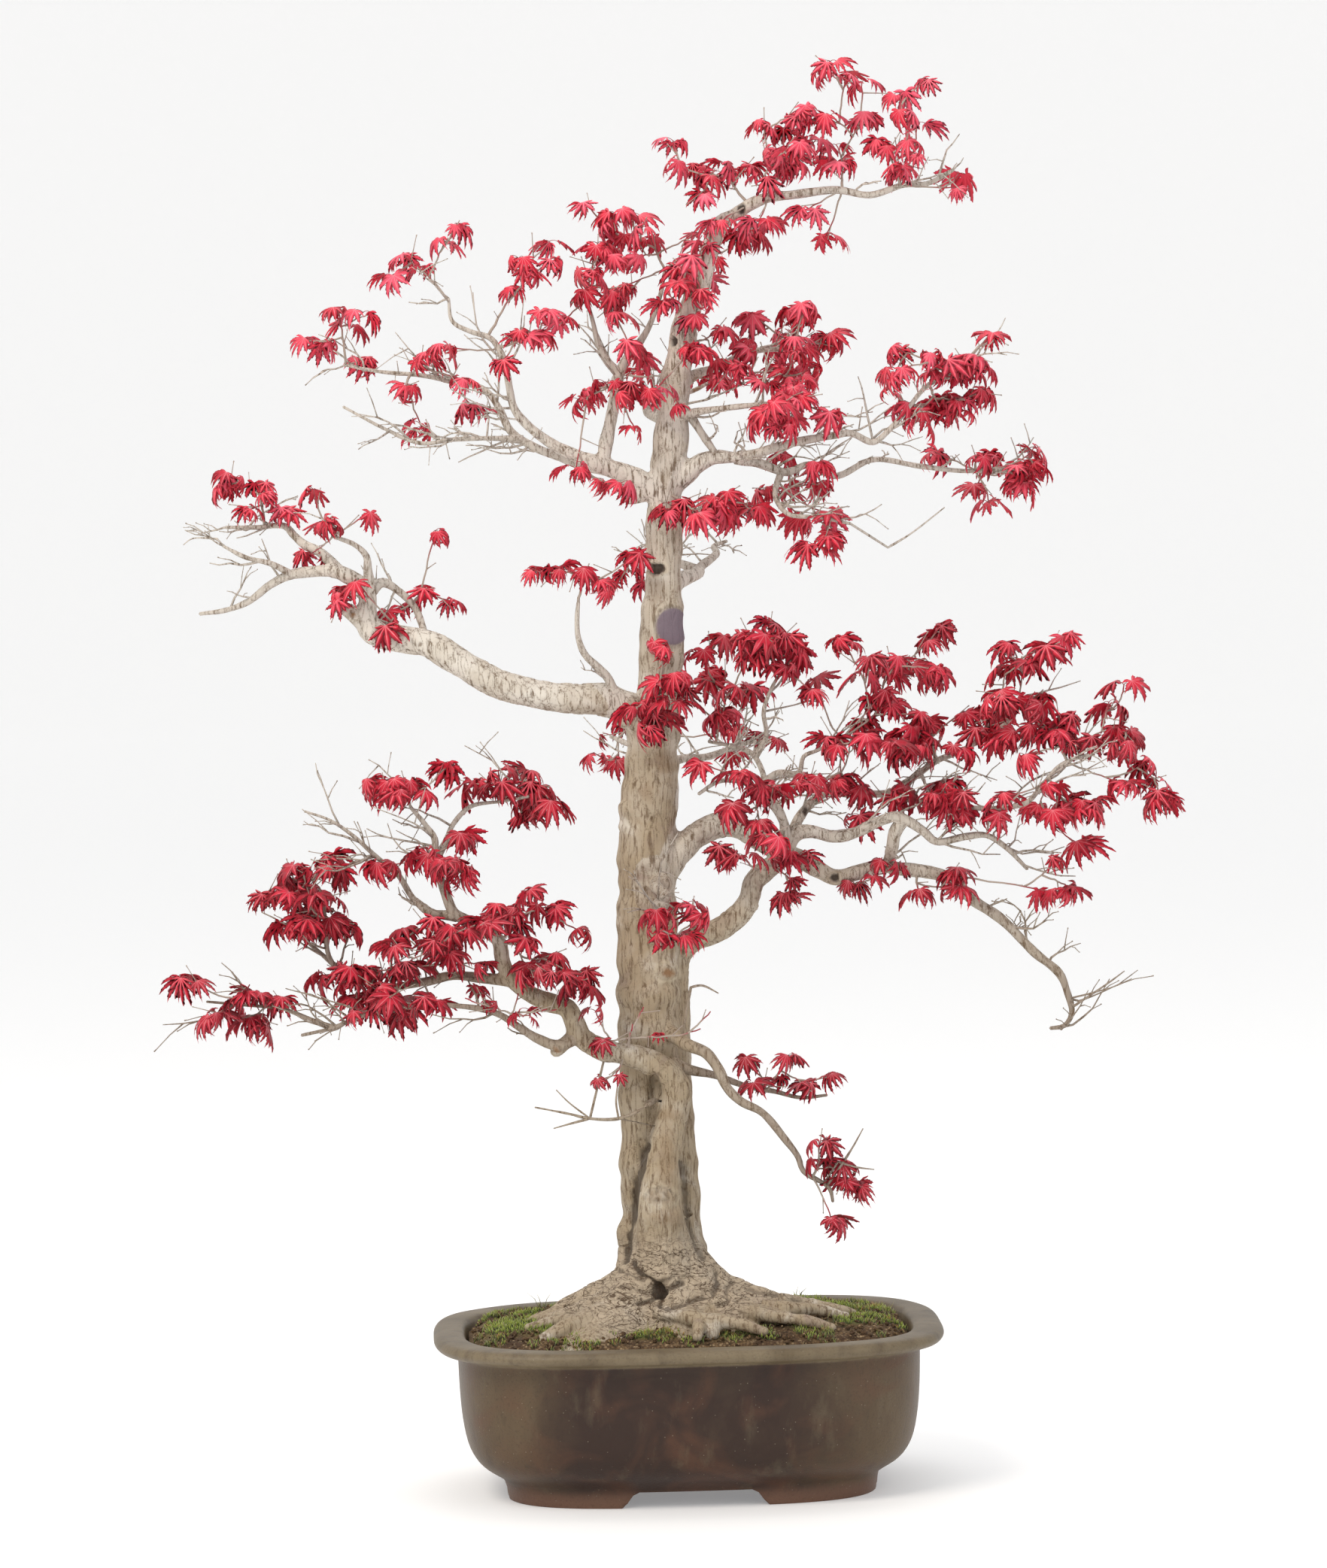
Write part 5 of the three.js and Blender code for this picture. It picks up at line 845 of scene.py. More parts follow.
def carveBark(mesh, largest):
    # moves the skin for lumps, fissures, wrinkles and marks, and paints what each place is
    corners, normals = vertexValues(mesh, "co"), vertexValues(mesh, "normal")
    samples = np.vstack([np.hstack([points, radii[:, None], np.gradient(points, axis=0)])
                         for points, radii in routeLines.values()])
    tree = KDTree(len(samples))
    for i, sample in enumerate(samples):
        tree.insert(sample[:3], i)
    tree.balance()
    nearest = np.array([tree.find(corner)[1] for corner in corners.tolist()])
    axis = samples[nearest, 4:7]
    axis /= np.maximum(np.linalg.norm(axis, axis=1, keepdims=True), 1e-9)
    size = np.minimum(samples[nearest, 3] * 1000, largest)
    along = np.sum(corners * axis, axis=1, keepdims=True)
    squeezed = corners - axis * along * 0.86
    thickness = softStep(3.0, 16.0, size)
    x, z, y = surveyBack(corners)
    foot = softStep(212, 186, z) * softStep(9, 14, size)
    lump = plainNoise(corners, 34) + plainNoise(squeezed, 95) * 0.8
    fissure = softStep(0.6, 0.9, turbulence(squeezed, 330))
    flake = plainNoise(corners - axis * along * 0.5, 210)
    move = lump * bark["lumps"] * (0.12 + thickness) + flake * 0.3 * thickness
    move -= fissure * bark["fissureDepth"] * (0.2 + thickness) * (1 - foot)
    # the skin of the foot is wrinkled by cracks that run together in a net
    flattened = corners * (1, 1, 1.9)
    net = np.minimum(np.abs(plainNoise(flattened, 85)), np.abs(plainNoise(flattened + 5, 130)))
    cracks = (1 - softStep(0.0, 0.075, net)) * foot
    move += foot * plainNoise(corners, 60) * 1.3 - cracks * 0.8
    onFoot = foot * softStep(-0.2, 0.2, normals[:, 2]) * (y < -8)
    facing = np.maximum(softStep(0.05, 0.35, -normals[:, 1]), onFoot)
    dark, torn, wound, callus, tint = (np.zeros(len(corners)) for _ in range(5))
    for markX, markZ, wide, tall, kind, depth, ringHeight in barkMarks:
        away = np.sqrt(((x - markX) / wide) ** 2 + ((z - markZ) / tall) ** 2)
        around = np.arctan2(z - markZ, x - markX)
        if kind != "wound":
            away = away * (1 + 0.07 * np.sin(3 * around + markX) + 0.05 * np.sin(7 * around))
        inside = softStep(1.06, 0.92 if kind == "wound" else 0.7, away) * facing
        ring = np.exp(-((away - 1.16) / 0.22) ** 2) * facing
        move += inside * depth + ring * ringHeight
        callus = np.maximum(callus, ring * min(1.0, ringHeight) * 0.6)
        if kind == "eye":
            lid = np.exp(-((away - 0.95) / 0.09) ** 2) * softStep(-0.5, 0.4, np.sin(around))
            dark = np.maximum(dark, 0.55 * lid * facing)
            dark = np.maximum(dark, 0.35 * np.exp(-((away - 0.5) / 0.1) ** 2) * facing)
            tint = np.maximum(tint, 0.7 * inside)
        elif kind == "hole":
            dark = np.maximum(dark, inside)
        elif kind == "wound":
            wound = np.maximum(wound, inside)
            dark = np.maximum(dark, 0.5 * np.exp(-((away - 1.08) / 0.06) ** 2) * facing)
        elif kind == "torn":
            torn = np.maximum(torn, inside)
        elif kind == "tint":
            tint = np.maximum(tint, softStep(1.3, 0.3, away) * facing)
        elif kind == "stub":
            torn = np.maximum(torn, softStep(0.6, 0.4, away) * facing)
    ahead = softStep(8, -2, y)
    wander = 1.5 * plainNoise(corners, 150)
    ragged = np.maximum(0.4, 1 + 0.6 * plainNoise(corners, 120))
    for depth, wide, darkness, line in barkSeams:
        valley = np.zeros(len(corners))
        for (x0, z0), (x1, z1) in zip(line, line[1:]):
            share = ((x - x0) * (x1 - x0) + (z - z0) * (z1 - z0)) / ((x1 - x0) ** 2 + (z1 - z0) ** 2)
            share = np.clip(share, 0, 1)
            away = np.hypot(x - x0 - share * (x1 - x0), z - z0 - share * (z1 - z0))
            valley = np.maximum(valley, np.exp(-(away / wide / 1.5) ** 2))
            crack = np.maximum(away + wander, 0) / wide / ragged
            dark = np.maximum(dark, softStep(0.2, 0.55, np.exp(-(crack * 1.1) ** 2)) * ahead * darkness)
        move -= valley * ahead * depth
    dark = np.maximum(dark, cracks * 0.3)
    corners += normals * (move / 1000)[:, None]
    mesh.vertices.foreach_set("co", corners.astype(np.float32).ravel())
    # limbs are paler than the trunk
    limb = softStep(15, 10, size) * softStep(380, 600, z)
    upper = np.maximum(softStep(420, 900, z + 120 * plainNoise(corners, 9)) * 0.6, limb)
    paintCorners(mesh, {
        "barkTone": np.stack([upper, softStep(6.0, 2.2, size), fissure * (1 - foot)], axis=1),
        "barkMark": np.stack([dark, torn, wound], axis=1),
        "barkRing": np.stack([callus, foot, tint], axis=1),
    })
    mesh.update()


# old maple bark: matt, cream to pale grey above and tan below, with fine brown cracks along the grain
def makeBark():
    material, tree, shader, place = newMaterial("mapleBark", 0.84, 1.45)
    parts = []
    for name in ("barkTone", "barkMark", "barkRing"):
        painted = addNode(tree, "ShaderNodeAttribute", {"attribute_name": name}, {}).outputs["Color"]
        parts.extend(addNode(tree, "ShaderNodeSeparateColor", {}, {"Color": painted}).outputs)
    upper, slim, fissure, dark, torn, wound, callus, foot, tint = parts
    drawnOut = addNode(tree, "ShaderNodeMapping", {}, {"Vector": place, "Scale": (1, 1, 0.16)}).outputs[0]
    # 40 mm patches of weathering, 3 mm ticks drawn out along the grain, and 1 mm specks
    cloud, streak, speck = [addNode(tree, "ShaderNodeTexNoise", {}, {
        "Vector": where, "Scale": scale, "Detail": detail, "Roughness": rough,
        "Distortion": swirl}).outputs[0]
        for where, scale, detail, rough, swirl in (
            (place, 25.0, 5.0, 0.6, 0.4), (drawnOut, 330.0, 4.0, 0.7, 0.0), (place, 800.0, 3.0, 0.7, 0.0))]
    # 12 mm long splits in the bark, between plates 6 mm wide
    plates = addNode(tree, "ShaderNodeTexVoronoi", {"feature": "DISTANCE_TO_EDGE"}, {
        "Vector": drawnOut, "Scale": 150.0, "Randomness": 1.0}).outputs["Distance"]
    paleness = addNode(tree, "ShaderNodeMath", {"operation": "MULTIPLY_ADD"}, {
        0: cloud, 1: 1.5, 2: upper}).outputs[0]
    slender = layered(tree, bark["twig"], [(upper, 0.0, 1.0, 1.0, bark["highTwig"])])
    # the foot has its own wrinkles in place of ticks and splits
    unwrinkled = addNode(tree, "ShaderNodeMapRange", {}, {0: foot, 3: 1.0, 4: 0.25}).outputs[0]
    broken = addNode(tree, "ShaderNodeMapRange", {}, {0: speck, 1: 0.4, 2: 0.6}).outputs[0]
    details = []
    for mask, low, high, most, within in (
            (streak, 0.52, 0.64, 0.85, 1.0), (plates, 0.07, 0.015, 0.6, broken),
            (speck, 0.62, 0.8, 0.45, 1.0)):
        share = addNode(tree, "ShaderNodeMapRange", {}, {0: mask, 1: low, 2: high, 4: most}).outputs[0]
        for limit in (within, unwrinkled):
            share = addNode(tree, "ShaderNodeMath", {"operation": "MULTIPLY"}, {
                0: share, 1: limit}).outputs[0]
        details.append(share)
    ticks, splits, flecks = details
    colour = layered(tree, bark["lower"], [
        (paleness, 0.7, 1.7, 1.0, bark["upper"]),
        (cloud, 0.42, 0.3, 0.7, bark["grey"]),
        (cloud, 0.58, 0.72, 0.6, bark["white"]),
        (foot, 0.0, 1.0, 0.7, bark["foot"]),
        (slim, 0.0, 1.0, 1.0, slender),
        (ticks, 0.0, 1.0, 1.0, bark["fissure"]),
        (splits, 0.0, 1.0, 1.0, bark["fissure"]),
        (flecks, 0.0, 1.0, 1.0, bark["fleck"]),
        (fissure, 0.0, 1.0, 0.7, bark["fissure"]),
        (tint, 0.0, 1.0, 0.4, bark["stain"]),
        (callus, 0.0, 1.0, 0.7, bark["ring"]),
        (wound, 0.0, 1.0, 1.0, bark["wound"]),
        (torn, 0.0, 1.0, 0.85, bark["torn"]),
        (dark, 0.0, 1.0, 0.92, bark["shade"])])
    height = addNode(tree, "ShaderNodeMath", {"operation": "MULTIPLY_ADD"}, {
        0: streak, 1: -1.2, 2: speck}).outputs[0]
    height = addNode(tree, "ShaderNodeMath", {"operation": "MULTIPLY"}, {
        0: height, 1: unwrinkled}).outputs[0]
    # two nets of thin curved wrinkles, 20 and 10 mm apart, flattened where the trunk runs out into its roots
    flattened = addNode(tree, "ShaderNodeMapping", {}, {"Vector": place, "Scale": (1, 1, 2.2)}).outputs[0]
    for scale, width, strength in ((38.0, 0.02, 0.95), (75.0, 0.024, 0.8)):
        field = addNode(tree, "ShaderNodeTexNoise", {}, {
            "Vector": flattened, "Scale": scale,
            "Detail": 3.0, "Roughness": 0.55, "Distortion": 1.2}).outputs[0]
        field = addNode(tree, "ShaderNodeMath", {"operation": "SUBTRACT"}, {0: field, 1: 0.5}).outputs[0]
        field = addNode(tree, "ShaderNodeMath", {"operation": "ABSOLUTE"}, {0: field}).outputs[0]
        share = addNode(tree, "ShaderNodeMapRange", {}, {
            0: field, 1: width, 2: 0.003, 4: strength}).outputs[0]
        share = addNode(tree, "ShaderNodeMath", {"operation": "MULTIPLY"}, {0: share, 1: foot}).outputs[0]
        colour = layered(tree, colour, [(share, 0.0, 1.0, 1.0, bark["wrinkle"])])
        height = addNode(tree, "ShaderNodeMath", {"operation": "MULTIPLY_ADD"}, {
            0: share, 1: -1.2, 2: height}).outputs[0]
    tree.links.new(colour, shader.inputs["Base Color"])
    edges = addNode(tree, "ShaderNodeMapRange", {}, {0: plates, 1: 0.0, 2: 0.08, 4: 0.8}).outputs[0]
    height = addNode(tree, "ShaderNodeMath", {}, {0: height, 1: edges}).outputs[0]
    bump = addNode(tree, "ShaderNodeBump", {}, {"Height": height, "Distance": 0.0007, "Strength": 0.6})
    tree.links.new(bump.outputs[0], shader.inputs["Normal"])
    return material


def footSkirt():
    # the flare of the trunk where it runs out into its roots, from knee height down into the soil
    middleX, middleY = skirt["middle"]
    heights = np.linspace(skirt["top"], skirt["low"], skirt["rings"])
    angle = np.linspace(0, 2 * math.pi, skirt["sides"], endpoint=False)
    spread = np.interp(np.degrees((angle + math.pi) % (2 * math.pi) - math.pi), *zip(*footSpread))
    corners = []
    for height in heights:
        share = (skirt["top"] - height) / skirt["flareHeight"]
        ridge = 1 + share ** 2 * (0.09 * np.sin(angle * 5 + 0.8) + 0.07 * np.sin(angle * 9 + 2))
        radius = (skirt["neck"] + (spread * 0.9 - skirt["neck"]) * share ** skirt["hollow"]) * ridge
        for turn, reach in zip(angle, radius):
            x, y = middleX + reach * math.cos(turn), middleY + reach * math.sin(turn)
            corners.append(standing(x, y, height))
    rings, count = len(heights), len(angle)
    faces = []
    for i in range(rings - 1):
        for j in range(count):
            k = (j + 1) % count
            faces.append((i * count + j, (i + 1) * count + j, (i + 1) * count + k))
            faces.append((i * count + j, (i + 1) * count + k, i * count + k))
    corners += [standing(middleX, middleY, skirt["top"]), standing(middleX, middleY, skirt["low"])]
    for j in range(count):
        k = (j + 1) % count
        faces.append((j, k, rings * count))
        faces.append(((rings - 1) * count + k, (rings - 1) * count + j, rings * count + 1))
    return np.array(corners), np.array(faces)


def polyline(knots, placed):
    points, radii = curvePoints(knots, 2.5, placed)
    radii *= np.array([1 + 0.2 * noise.noise(Vector(point * 110)) for point in points])
    return points, radii


def growTwiglets():
    # bare fine twigs along the limbs, each with forks that end in buds
    draws = random.Random(19)
    places = [(point, radius) for name, (points, radii) in routeLines.items()
              if not name.startswith("root") for point, radius in zip(points, radii)
              if radius < 0.0045 and point[2] > 0.36]
    parts = []
    for _ in range(bark["twiglets"]):
        point, radius = draws.choice(places)
        away = unit(point - np.array((originX - 0.02, originY, point[2])))
        way = away * 0.9 + np.array([draws.gauss(0, 0.6), draws.gauss(0, 0.7), draws.gauss(0.5, 0.4)])
        way /= np.linalg.norm(way)
        length = draws.uniform(*bark["twigletLength"])
        bend = np.array([draws.gauss(0, 0.16) for _ in range(3)]) * length
        line = bentLine(point, point + way * length * 0.5 + bend, point + way * length, 5)
        shaken = np.array([[draws.uniform(-1, 1) for _ in range(3)] for _ in range(4)])
        line[1:-1] += shaken * bark["twigletShake"]
        if np.abs(line[-1, 1]) > bark["twigletDepth"]:
            continue
        thick, thin = bark["twigletRadii"]
        parts.append(tube(line, np.linspace(min(radius * 0.7, thick), thin, 6), 4))
        for number in range(draws.randint(*bark["twigletForks"])):
            start = line[min(4, 2 + number)]
            side = way + np.array([draws.gauss(0, 0.6) for _ in range(3)])
            side *= length * draws.uniform(0.25, 0.5) / np.linalg.norm(side)
            forked = [start, start + side * 0.5 + (0, 0, 0.0012), start + side, start + side * 1.1]
            parts.append(tube(np.array(forked), np.array(bark["budRadii"]), 4))
    return parts


def makeWood():
    material = makeBark()
    thickParts, slimParts = [footSkirt()], []
    for name, (points, radii) in routeLines.items():
        isThick = radii * 1000 > bark["thick"]
        # a limb is grown into the trunk's skin as far as it stays thick
        last = len(points) if isThick.all() else int(np.argmin(isThick))
        if last > 3:
            slimming = 0.86 if name.startswith("root") else 1
            thickParts.append(tube(points[:last], radii[:last] * slimming, 24))
        if last < len(points):
            start = max(0, last - 4)
            slimRadii = radii[start:].copy()
            if start == 0:
                reach = np.linalg.norm(points - points[0], axis=1)
                slimRadii *= 1 + 0.35 * np.exp(-reach / 0.014)
            slimParts.append(tube(points[start:], slimRadii, 10))
    thickParts.extend(tube(*polyline(knots, standing), 16) for knots in surfaceRoots)
    grown = np.vstack([points for points, radii in routeLines.values()])
    for knots in bareTwigs:
        points, radii = polyline(knots, surveyed)
        # a bare twig starts inside the nearest wood
        start = grown[np.argmin(np.linalg.norm(grown - points[0], axis=1))]
        slimParts.append(tube(np.vstack([start, (start + points[0]) / 2, points]),
                              np.concatenate([[radii[0], radii[0]], radii]), 6))
    slimParts.extend(growTwiglets())
    corners, faces = joined(thickParts)
    trunk = meshPiece("trunk_skin", corners, faces, material)
    remesh = trunk.modifiers.new("grown", "REMESH")
    remesh.mode = "VOXEL"
    remesh.voxel_size = bark["trunkVoxel"] / 1000
    smooth = trunk.modifiers.new("eased", "SMOOTH")
    smooth.iterations = 3
    smooth.factor = 0.5
    applyModifiers(trunk)
    mesh = trunk.data
    mesh.polygons.foreach_set("use_smooth", [True] * len(mesh.polygons))
    carveBark(mesh, 60.0)
    thin = trunk.modifiers.new("thinned", "DECIMATE")
    thin.ratio = bark["trunkFaces"] / (2 * len(mesh.polygons))
    applyModifiers(trunk)
    corners, faces = joined(slimParts)
    limbs = meshPiece("slim_limbs", corners, faces, material)
    carveBark(limbs.data, 4.0)
    for piece in (trunk, limbs):
        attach(piece, "root")
    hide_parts("trunk_and_limbs")
    print("wood grown:", len(trunk.data.polygons), "and", len(limbs.data.polygons), "faces")


makeWood()


# ends of the shoots of each leafy spray, x, y and z
sprays = {
    "apex_left": [(26, -22, 1060), (22, -30, 1019), (-12, -38, 1064), (7, -30, 1052), (-16, -30, 1082),
        (37, 4, 1006)],
    "apex_inner": [(57, -26, 1050), (56, -38, 1022), (66, -36, 1072), (78, -8, 1052), (60, -26, 1094),
        (104, -12, 1078)],
    "apex_crown": [(120, -14, 1061), (116, -6, 1078), (136, -20, 1104), (126, -36, 1130), (104, -24, 1132),
        (102, -36, 1026)],
    "apex_right": [(164, -36, 1058), (146, -32, 1072), (184, -30, 1128), (168, -38, 1112),
        (206, -22, 1040), (181, -8, 1066)],
    "crown_left": [(-32, 24, 1000), (-46, 14, 988), (-68, 10, 1018), (-46, 24, 1019), (-54, 42, 962),
        (-82, 6, 1030), (26, 22, 984), (40, 30, 1002), (4, 36, 998)],
    "crown_left_low": [(-82, -14, 976), (-62, -20, 984), (-104, -12, 940), (-74, -18, 998),
        (-66, -26, 934), (-88, -8, 962)],
    "crown_front": [(-10, -44, 966), (-27, -40, 952), (12, -46, 950), (-4, -42, 988)],
    "upright_low": [(-68, -26, 886), (-57, -36, 871), (-40, -22, 880), (-40, -6, 911), (-48, -36, 848),
        (-86, -28, 880), (-74, -36, 808), (-58, -42, 806), (-96, -34, 812)],
    "trunk_front_high": [(6, -40, 914), (-12, -38, 912), (-8, -46, 872), (4, -38, 936), (-22, -40, 872),
        (22, -32, 930)],
    "left_high_outer": [(-214, -16, 978), (-200, -30, 996), (-245, -8, 967), (-226, -12, 989),
        (-188, -36, 1014)],
    "left_high_inner": [(-140, -34, 962), (-128, -42, 974), (-104, -42, 988), (-144, -44, 985),
        (-120, -2, 996)],
    "left_mid": [(-133, -46, 924), (-116, -52, 927), (-190, -50, 918), (-158, -54, 909), (-112, -44, 948)],
    "left_far": [(-281, 34, 944), (-262, 26, 942), (-306, 30, 926), (-288, 22, 921), (-256, 52, 902),
        (-269, 44, 932)],
    "left_low": [(-227, 18, 882), (-218, 24, 899), (-206, 42, 848), (-212, 8, 908), (-182, 14, 884),
        (-176, 46, 868)],
    "right_high": [(85, 24, 915), (70, 46, 918), (103, 28, 932), (87, 14, 942), (52, 38, 940),
        (50, 48, 919)],
    "right_high_front": [(46, -4, 893), (67, 2, 897), (24, -20, 908), (82, -6, 896), (98, 8, 899),
        (40, -14, 898)],
    "right_mid_front": [(82, -56, 882), (95, -60, 874), (112, -46, 870), (82, -50, 862), (49, -56, 862),
        (64, -48, 866)],
    "right_low": [(67, 20, 802), (88, 26, 806), (112, -40, 765), (76, 34, 826), (103, -42, 828),
        (97, -34, 763)],
    "trunk_right": [(-6, -32, 792), (11, -34, 794), (30, -26, 791), (-22, -38, 784), (44, -18, 791)],
    "right_far_high": [(200, -24, 902), (186, -28, 908), (240, -4, 928), (196, -22, 896), (163, -26, 900),
        (226, -16, 900)],
    "right_far_low": [(196, 4, 871), (181, -2, 868), (232, 12, 876), (219, 10, 868), (160, 0, 870),
        (206, 16, 861)],
    "right_shelf": [(228, 34, 828), (196, 42, 832), (268, 44, 828), (254, 36, 822), (262, 52, 807),
        (240, 56, 794)],
    "mid_left_outer": [(-345, 24, 806), (-335, 18, 801), (-371, 38, 799), (-358, 36, 812), (-342, 14, 782),
        (-325, 26, 785)],
    "mid_left_inner": [(-287, -36, 777), (-296, -28, 768), (-262, -34, 773), (-305, 12, 752),
        (-302, -24, 797)],
    "mid_left_loop": [(-222, 22, 711), (-203, 26, 714), (-209, 18, 729), (-242, 12, 701), (-204, 10, 776),
        (-246, -12, 688), (-280, -14, 722), (-272, -22, 724), (-288, -22, 716)],
    "small_pad": [(-84, -30, 737), (-69, -26, 729), (-119, -22, 746), (-104, -34, 741), (-55, -32, 750)],
    "heart_trunk_front": [(-22, -40, 649), (-35, -38, 637), (-26, -38, 677), (-17, -48, 631),
        (-46, -42, 626), (-28, -44, 614)],
    "heart_front": [(55, -42, 566), (54, -54, 536), (84, -40, 565), (70, -48, 566), (14, -66, 580),
        (36, -62, 552)],
    "heart_high": [(22, 50, 622), (16, 60, 648), (42, 26, 677), (28, 54, 650), (6, 50, 671), (19, 58, 680),
        (79, 12, 660), (56, 32, 671), (66, 20, 690), (52, 18, 684), (94, 6, 643), (84, 18, 683)],
    "heart_mid": [(124, -16, 597), (118, 4, 570), (124, 16, 676), (137, -8, 602), (136, 8, 663),
        (100, -6, 575)],
    "heart_right_high": [(157, 18, 631), (142, 24, 618), (150, 28, 657), (168, 32, 664), (184, 54, 675),
        (196, 42, 654)],
    "heart_right": [(190, 26, 603), (168, 2, 600), (217, 40, 625), (193, 34, 614), (229, 34, 612),
        (241, 50, 621), (136, 12, 544), (136, 16, 564), (172, 14, 558), (157, 22, 552), (193, -20, 558),
        (205, -12, 548)],
    "heart_far_high": [(257, 34, 633), (241, 28, 641), (264, 46, 667), (253, 36, 658), (296, 34, 682),
        (280, 40, 674)],
    "heart_far": [(289, -22, 609), (271, -14, 619), (304, -18, 619), (280, -28, 625), (323, -26, 607),
        (256, 10, 600), (343, -26, 605), (334, -20, 634), (376, -34, 566), (361, -32, 583),
        (346, -12, 649), (349, -44, 564)],
    "heart_far_low": [(290, -38, 565), (306, -42, 549), (245, -28, 546), (295, -46, 550), (322, -46, 550),
        (217, -24, 552)],
    "low_right_shelf": [(182, 4, 481), (160, 4, 498), (138, -2, 486), (151, -8, 489), (221, 4, 498),
        (204, 0, 490), (293, -18, 480), (304, -10, 478), (296, -18, 508)],
    "low_right_front": [(43, -26, 508), (27, -24, 513), (82, -14, 489), (73, -18, 510), (70, -10, 480),
        (86, -22, 516)],
    "trunk_mid_front": [(-24, -68, 446), (-32, -58, 458), (10, -60, 458), (-6, -64, 445), (-30, -116, 472),
        (-3, -52, 470)],
    "low_left_crown": [(-228, -44, 568), (-215, -36, 562), (-254, -34, 567), (-239, -46, 573),
        (-198, -34, 574)],
    "low_left_crown_right": [(-154, 8, 568), (-167, 14, 568), (-128, 16, 568), (-182, 6, 567),
        (-108, 20, 556), (-122, 28, 560)],
    "low_left_mid": [(-209, -60, 508), (-197, -66, 508), (-242, -38, 499), (-182, -62, 520),
        (-182, -70, 501)],
    "low_left_far": [(-311, -10, 500), (-299, -6, 488), (-344, -4, 475), (-323, 0, 488), (-293, -16, 500),
        (-314, -8, 484), (-326, -20, 457), (-308, -24, 451), (-281, -30, 448), (-293, -32, 452),
        (-284, -38, 475)],
    "low_left_heart": [(-140, -68, 454), (-158, -72, 466), (-107, -62, 464), (-134, -62, 472),
        (-89, -58, 452)],
    "low_left_heart_low": [(-132, -74, 442), (-134, -70, 427), (-107, -72, 418), (-116, -66, 433),
        (-89, -68, 409)],
    "low_left_shelf": [(-194, -50, 430), (-191, -54, 451), (-227, -46, 448), (-209, -50, 454),
        (-161, -60, 433), (-272, -38, 414), (-260, -42, 417), (-286, -36, 410), (-269, -34, 399),
        (-251, -32, 418)],
    "low_left_under": [(-215, -84, 393), (-203, -80, 391), (-245, -82, 394), (-233, -88, 392),
        (-275, -78, 385)],
    "low_left_tips": [(-341, -34, 396), (-326, -38, 393), (-371, -36, 391), (-356, -40, 399),
        (-404, -20, 405)],
    "low_left_base": [(-137, -80, 385), (-107, -76, 388), (-155, -88, 391), (-116, -82, 384),
        (-185, -82, 400)],
    "trunk_foot": [(-47, -64, 373), (-59, -60, 366), (-80, -64, 379), (-71, -58, 361), (-30, -54, 384),
        (-21, -58, 364), (-77, -50, 329), (-59, -58, 330), (18, -42, 383), (-1, -50, 369)],
    "front_right": [(66, -10, 327), (45, -14, 341), (84, -14, 325), (56, -18, 328), (111, -6, 329),
        (78, -4, 352)],
    "front_right_low": [(104, -62, 262), (101, -54, 277), (134, -50, 236), (118, -54, 259),
        (109, -60, 220), (128, -60, 249)],
    "back_low": [(-50, 176, 614), (-72, 196, 606), (-30, 186, 608), (-60, 160, 588), (-76, 120, 592),
        (52, 166, 612), (68, 150, 598), (34, 176, 606), (30, 146, 584)],
    "back_mid": [(-50, 112, 735), (-36, 134, 728), (10, 152, 788), (28, 146, 786), (-6, 164, 782),
        (-62, 120, 724)],
    "back_high": [(-66, 104, 886), (-50, 118, 890), (-84, 106, 884), (0, 96, 896), (16, 108, 890),
        (30, 100, 888)],
}


leaves = {
    "blade": (14.5, 24.0),      # mm from the petiole to the tip of the middle lobe
    "petiole": (4.0, 9.0),      # mm
    "perShoot": (2, 4),
    "halfThickness": 0.3,       # mm
    "light": "#EE5C74", "middle": "#D3213A", "deep": "#9C1024", "rib": "#F09AA2", "twig": "#A39689",
    "tipTwig": "#9A3A40",
    "reachY": 186.0,            # mm, no leaf stands further out to the front or back
    "sparse": ("trunk_foot", "low_left_base"),  # sprays of few small leaves on old wood
    "full": ("heart", "right", "crown", "apex", "trunk_right", "low_left"),   # the thickest foliage
    "between": 0.95,            # further shoots there, as a share of those listed
    "beyond": 0.15,             # how far past two neighbours they may stand, as a share of the gap
    "aside": ((0, 0.013), (0.004, 0.024), (0, 0.011)),  # m, middle and spread of their offset along x, y, z
    "deepest": 0.15,            # m that they may stand in front of or behind the frame's middle
    "twigRadii": (0.00135, 0.0009, 0.00052),    # m, foot of a spray's first twig, of the others, and tip
    "twigSides": 5,
    "petioleRadii": (0.00042, 0.00034, 0.0003, 0.00034),    # m, from the twig to the blade
    "budRadii": (0.0006, 0.00042, 0.00034, 0.0006),         # m, along a side twig to its swollen bud
    "sideTwig": (0.008, 0.02),  # m
    "yawSpread": 0.6, "rollSpread": 0.7, "droop": (0.15, 1.4),  # radians
    "toneSpread": 0.14,
    "backSize": 0.85,           # of the leaf that sits further back on its shoot
    # heights in mm with the depth of the red, partly the leaves' own colour and partly painted light above
    # and painted shade below, and the size of the leaves there
    "redAndShadeByHeight": ([300, 420, 700, 900, 1100], [1.0, 0.82, 0.6, 0.42, 0.3]),
    "sizeByHeight": ([400, 700, 1000], [1.02, 1.06, 0.92]),
    "sparseSize": 0.72, "fullSize": 1.12,
    "notch": 0.32,              # how far out the lobes part, as a share of their length
}
# angle in degrees, length, widest place and half width of each lobe, for one side and the middle
lobes = [(0, 1.0, 0.54, 0.12), (34, 0.94, 0.53, 0.115), (68, 0.78, 0.52, 0.105), (106, 0.45, 0.5, 0.08)]


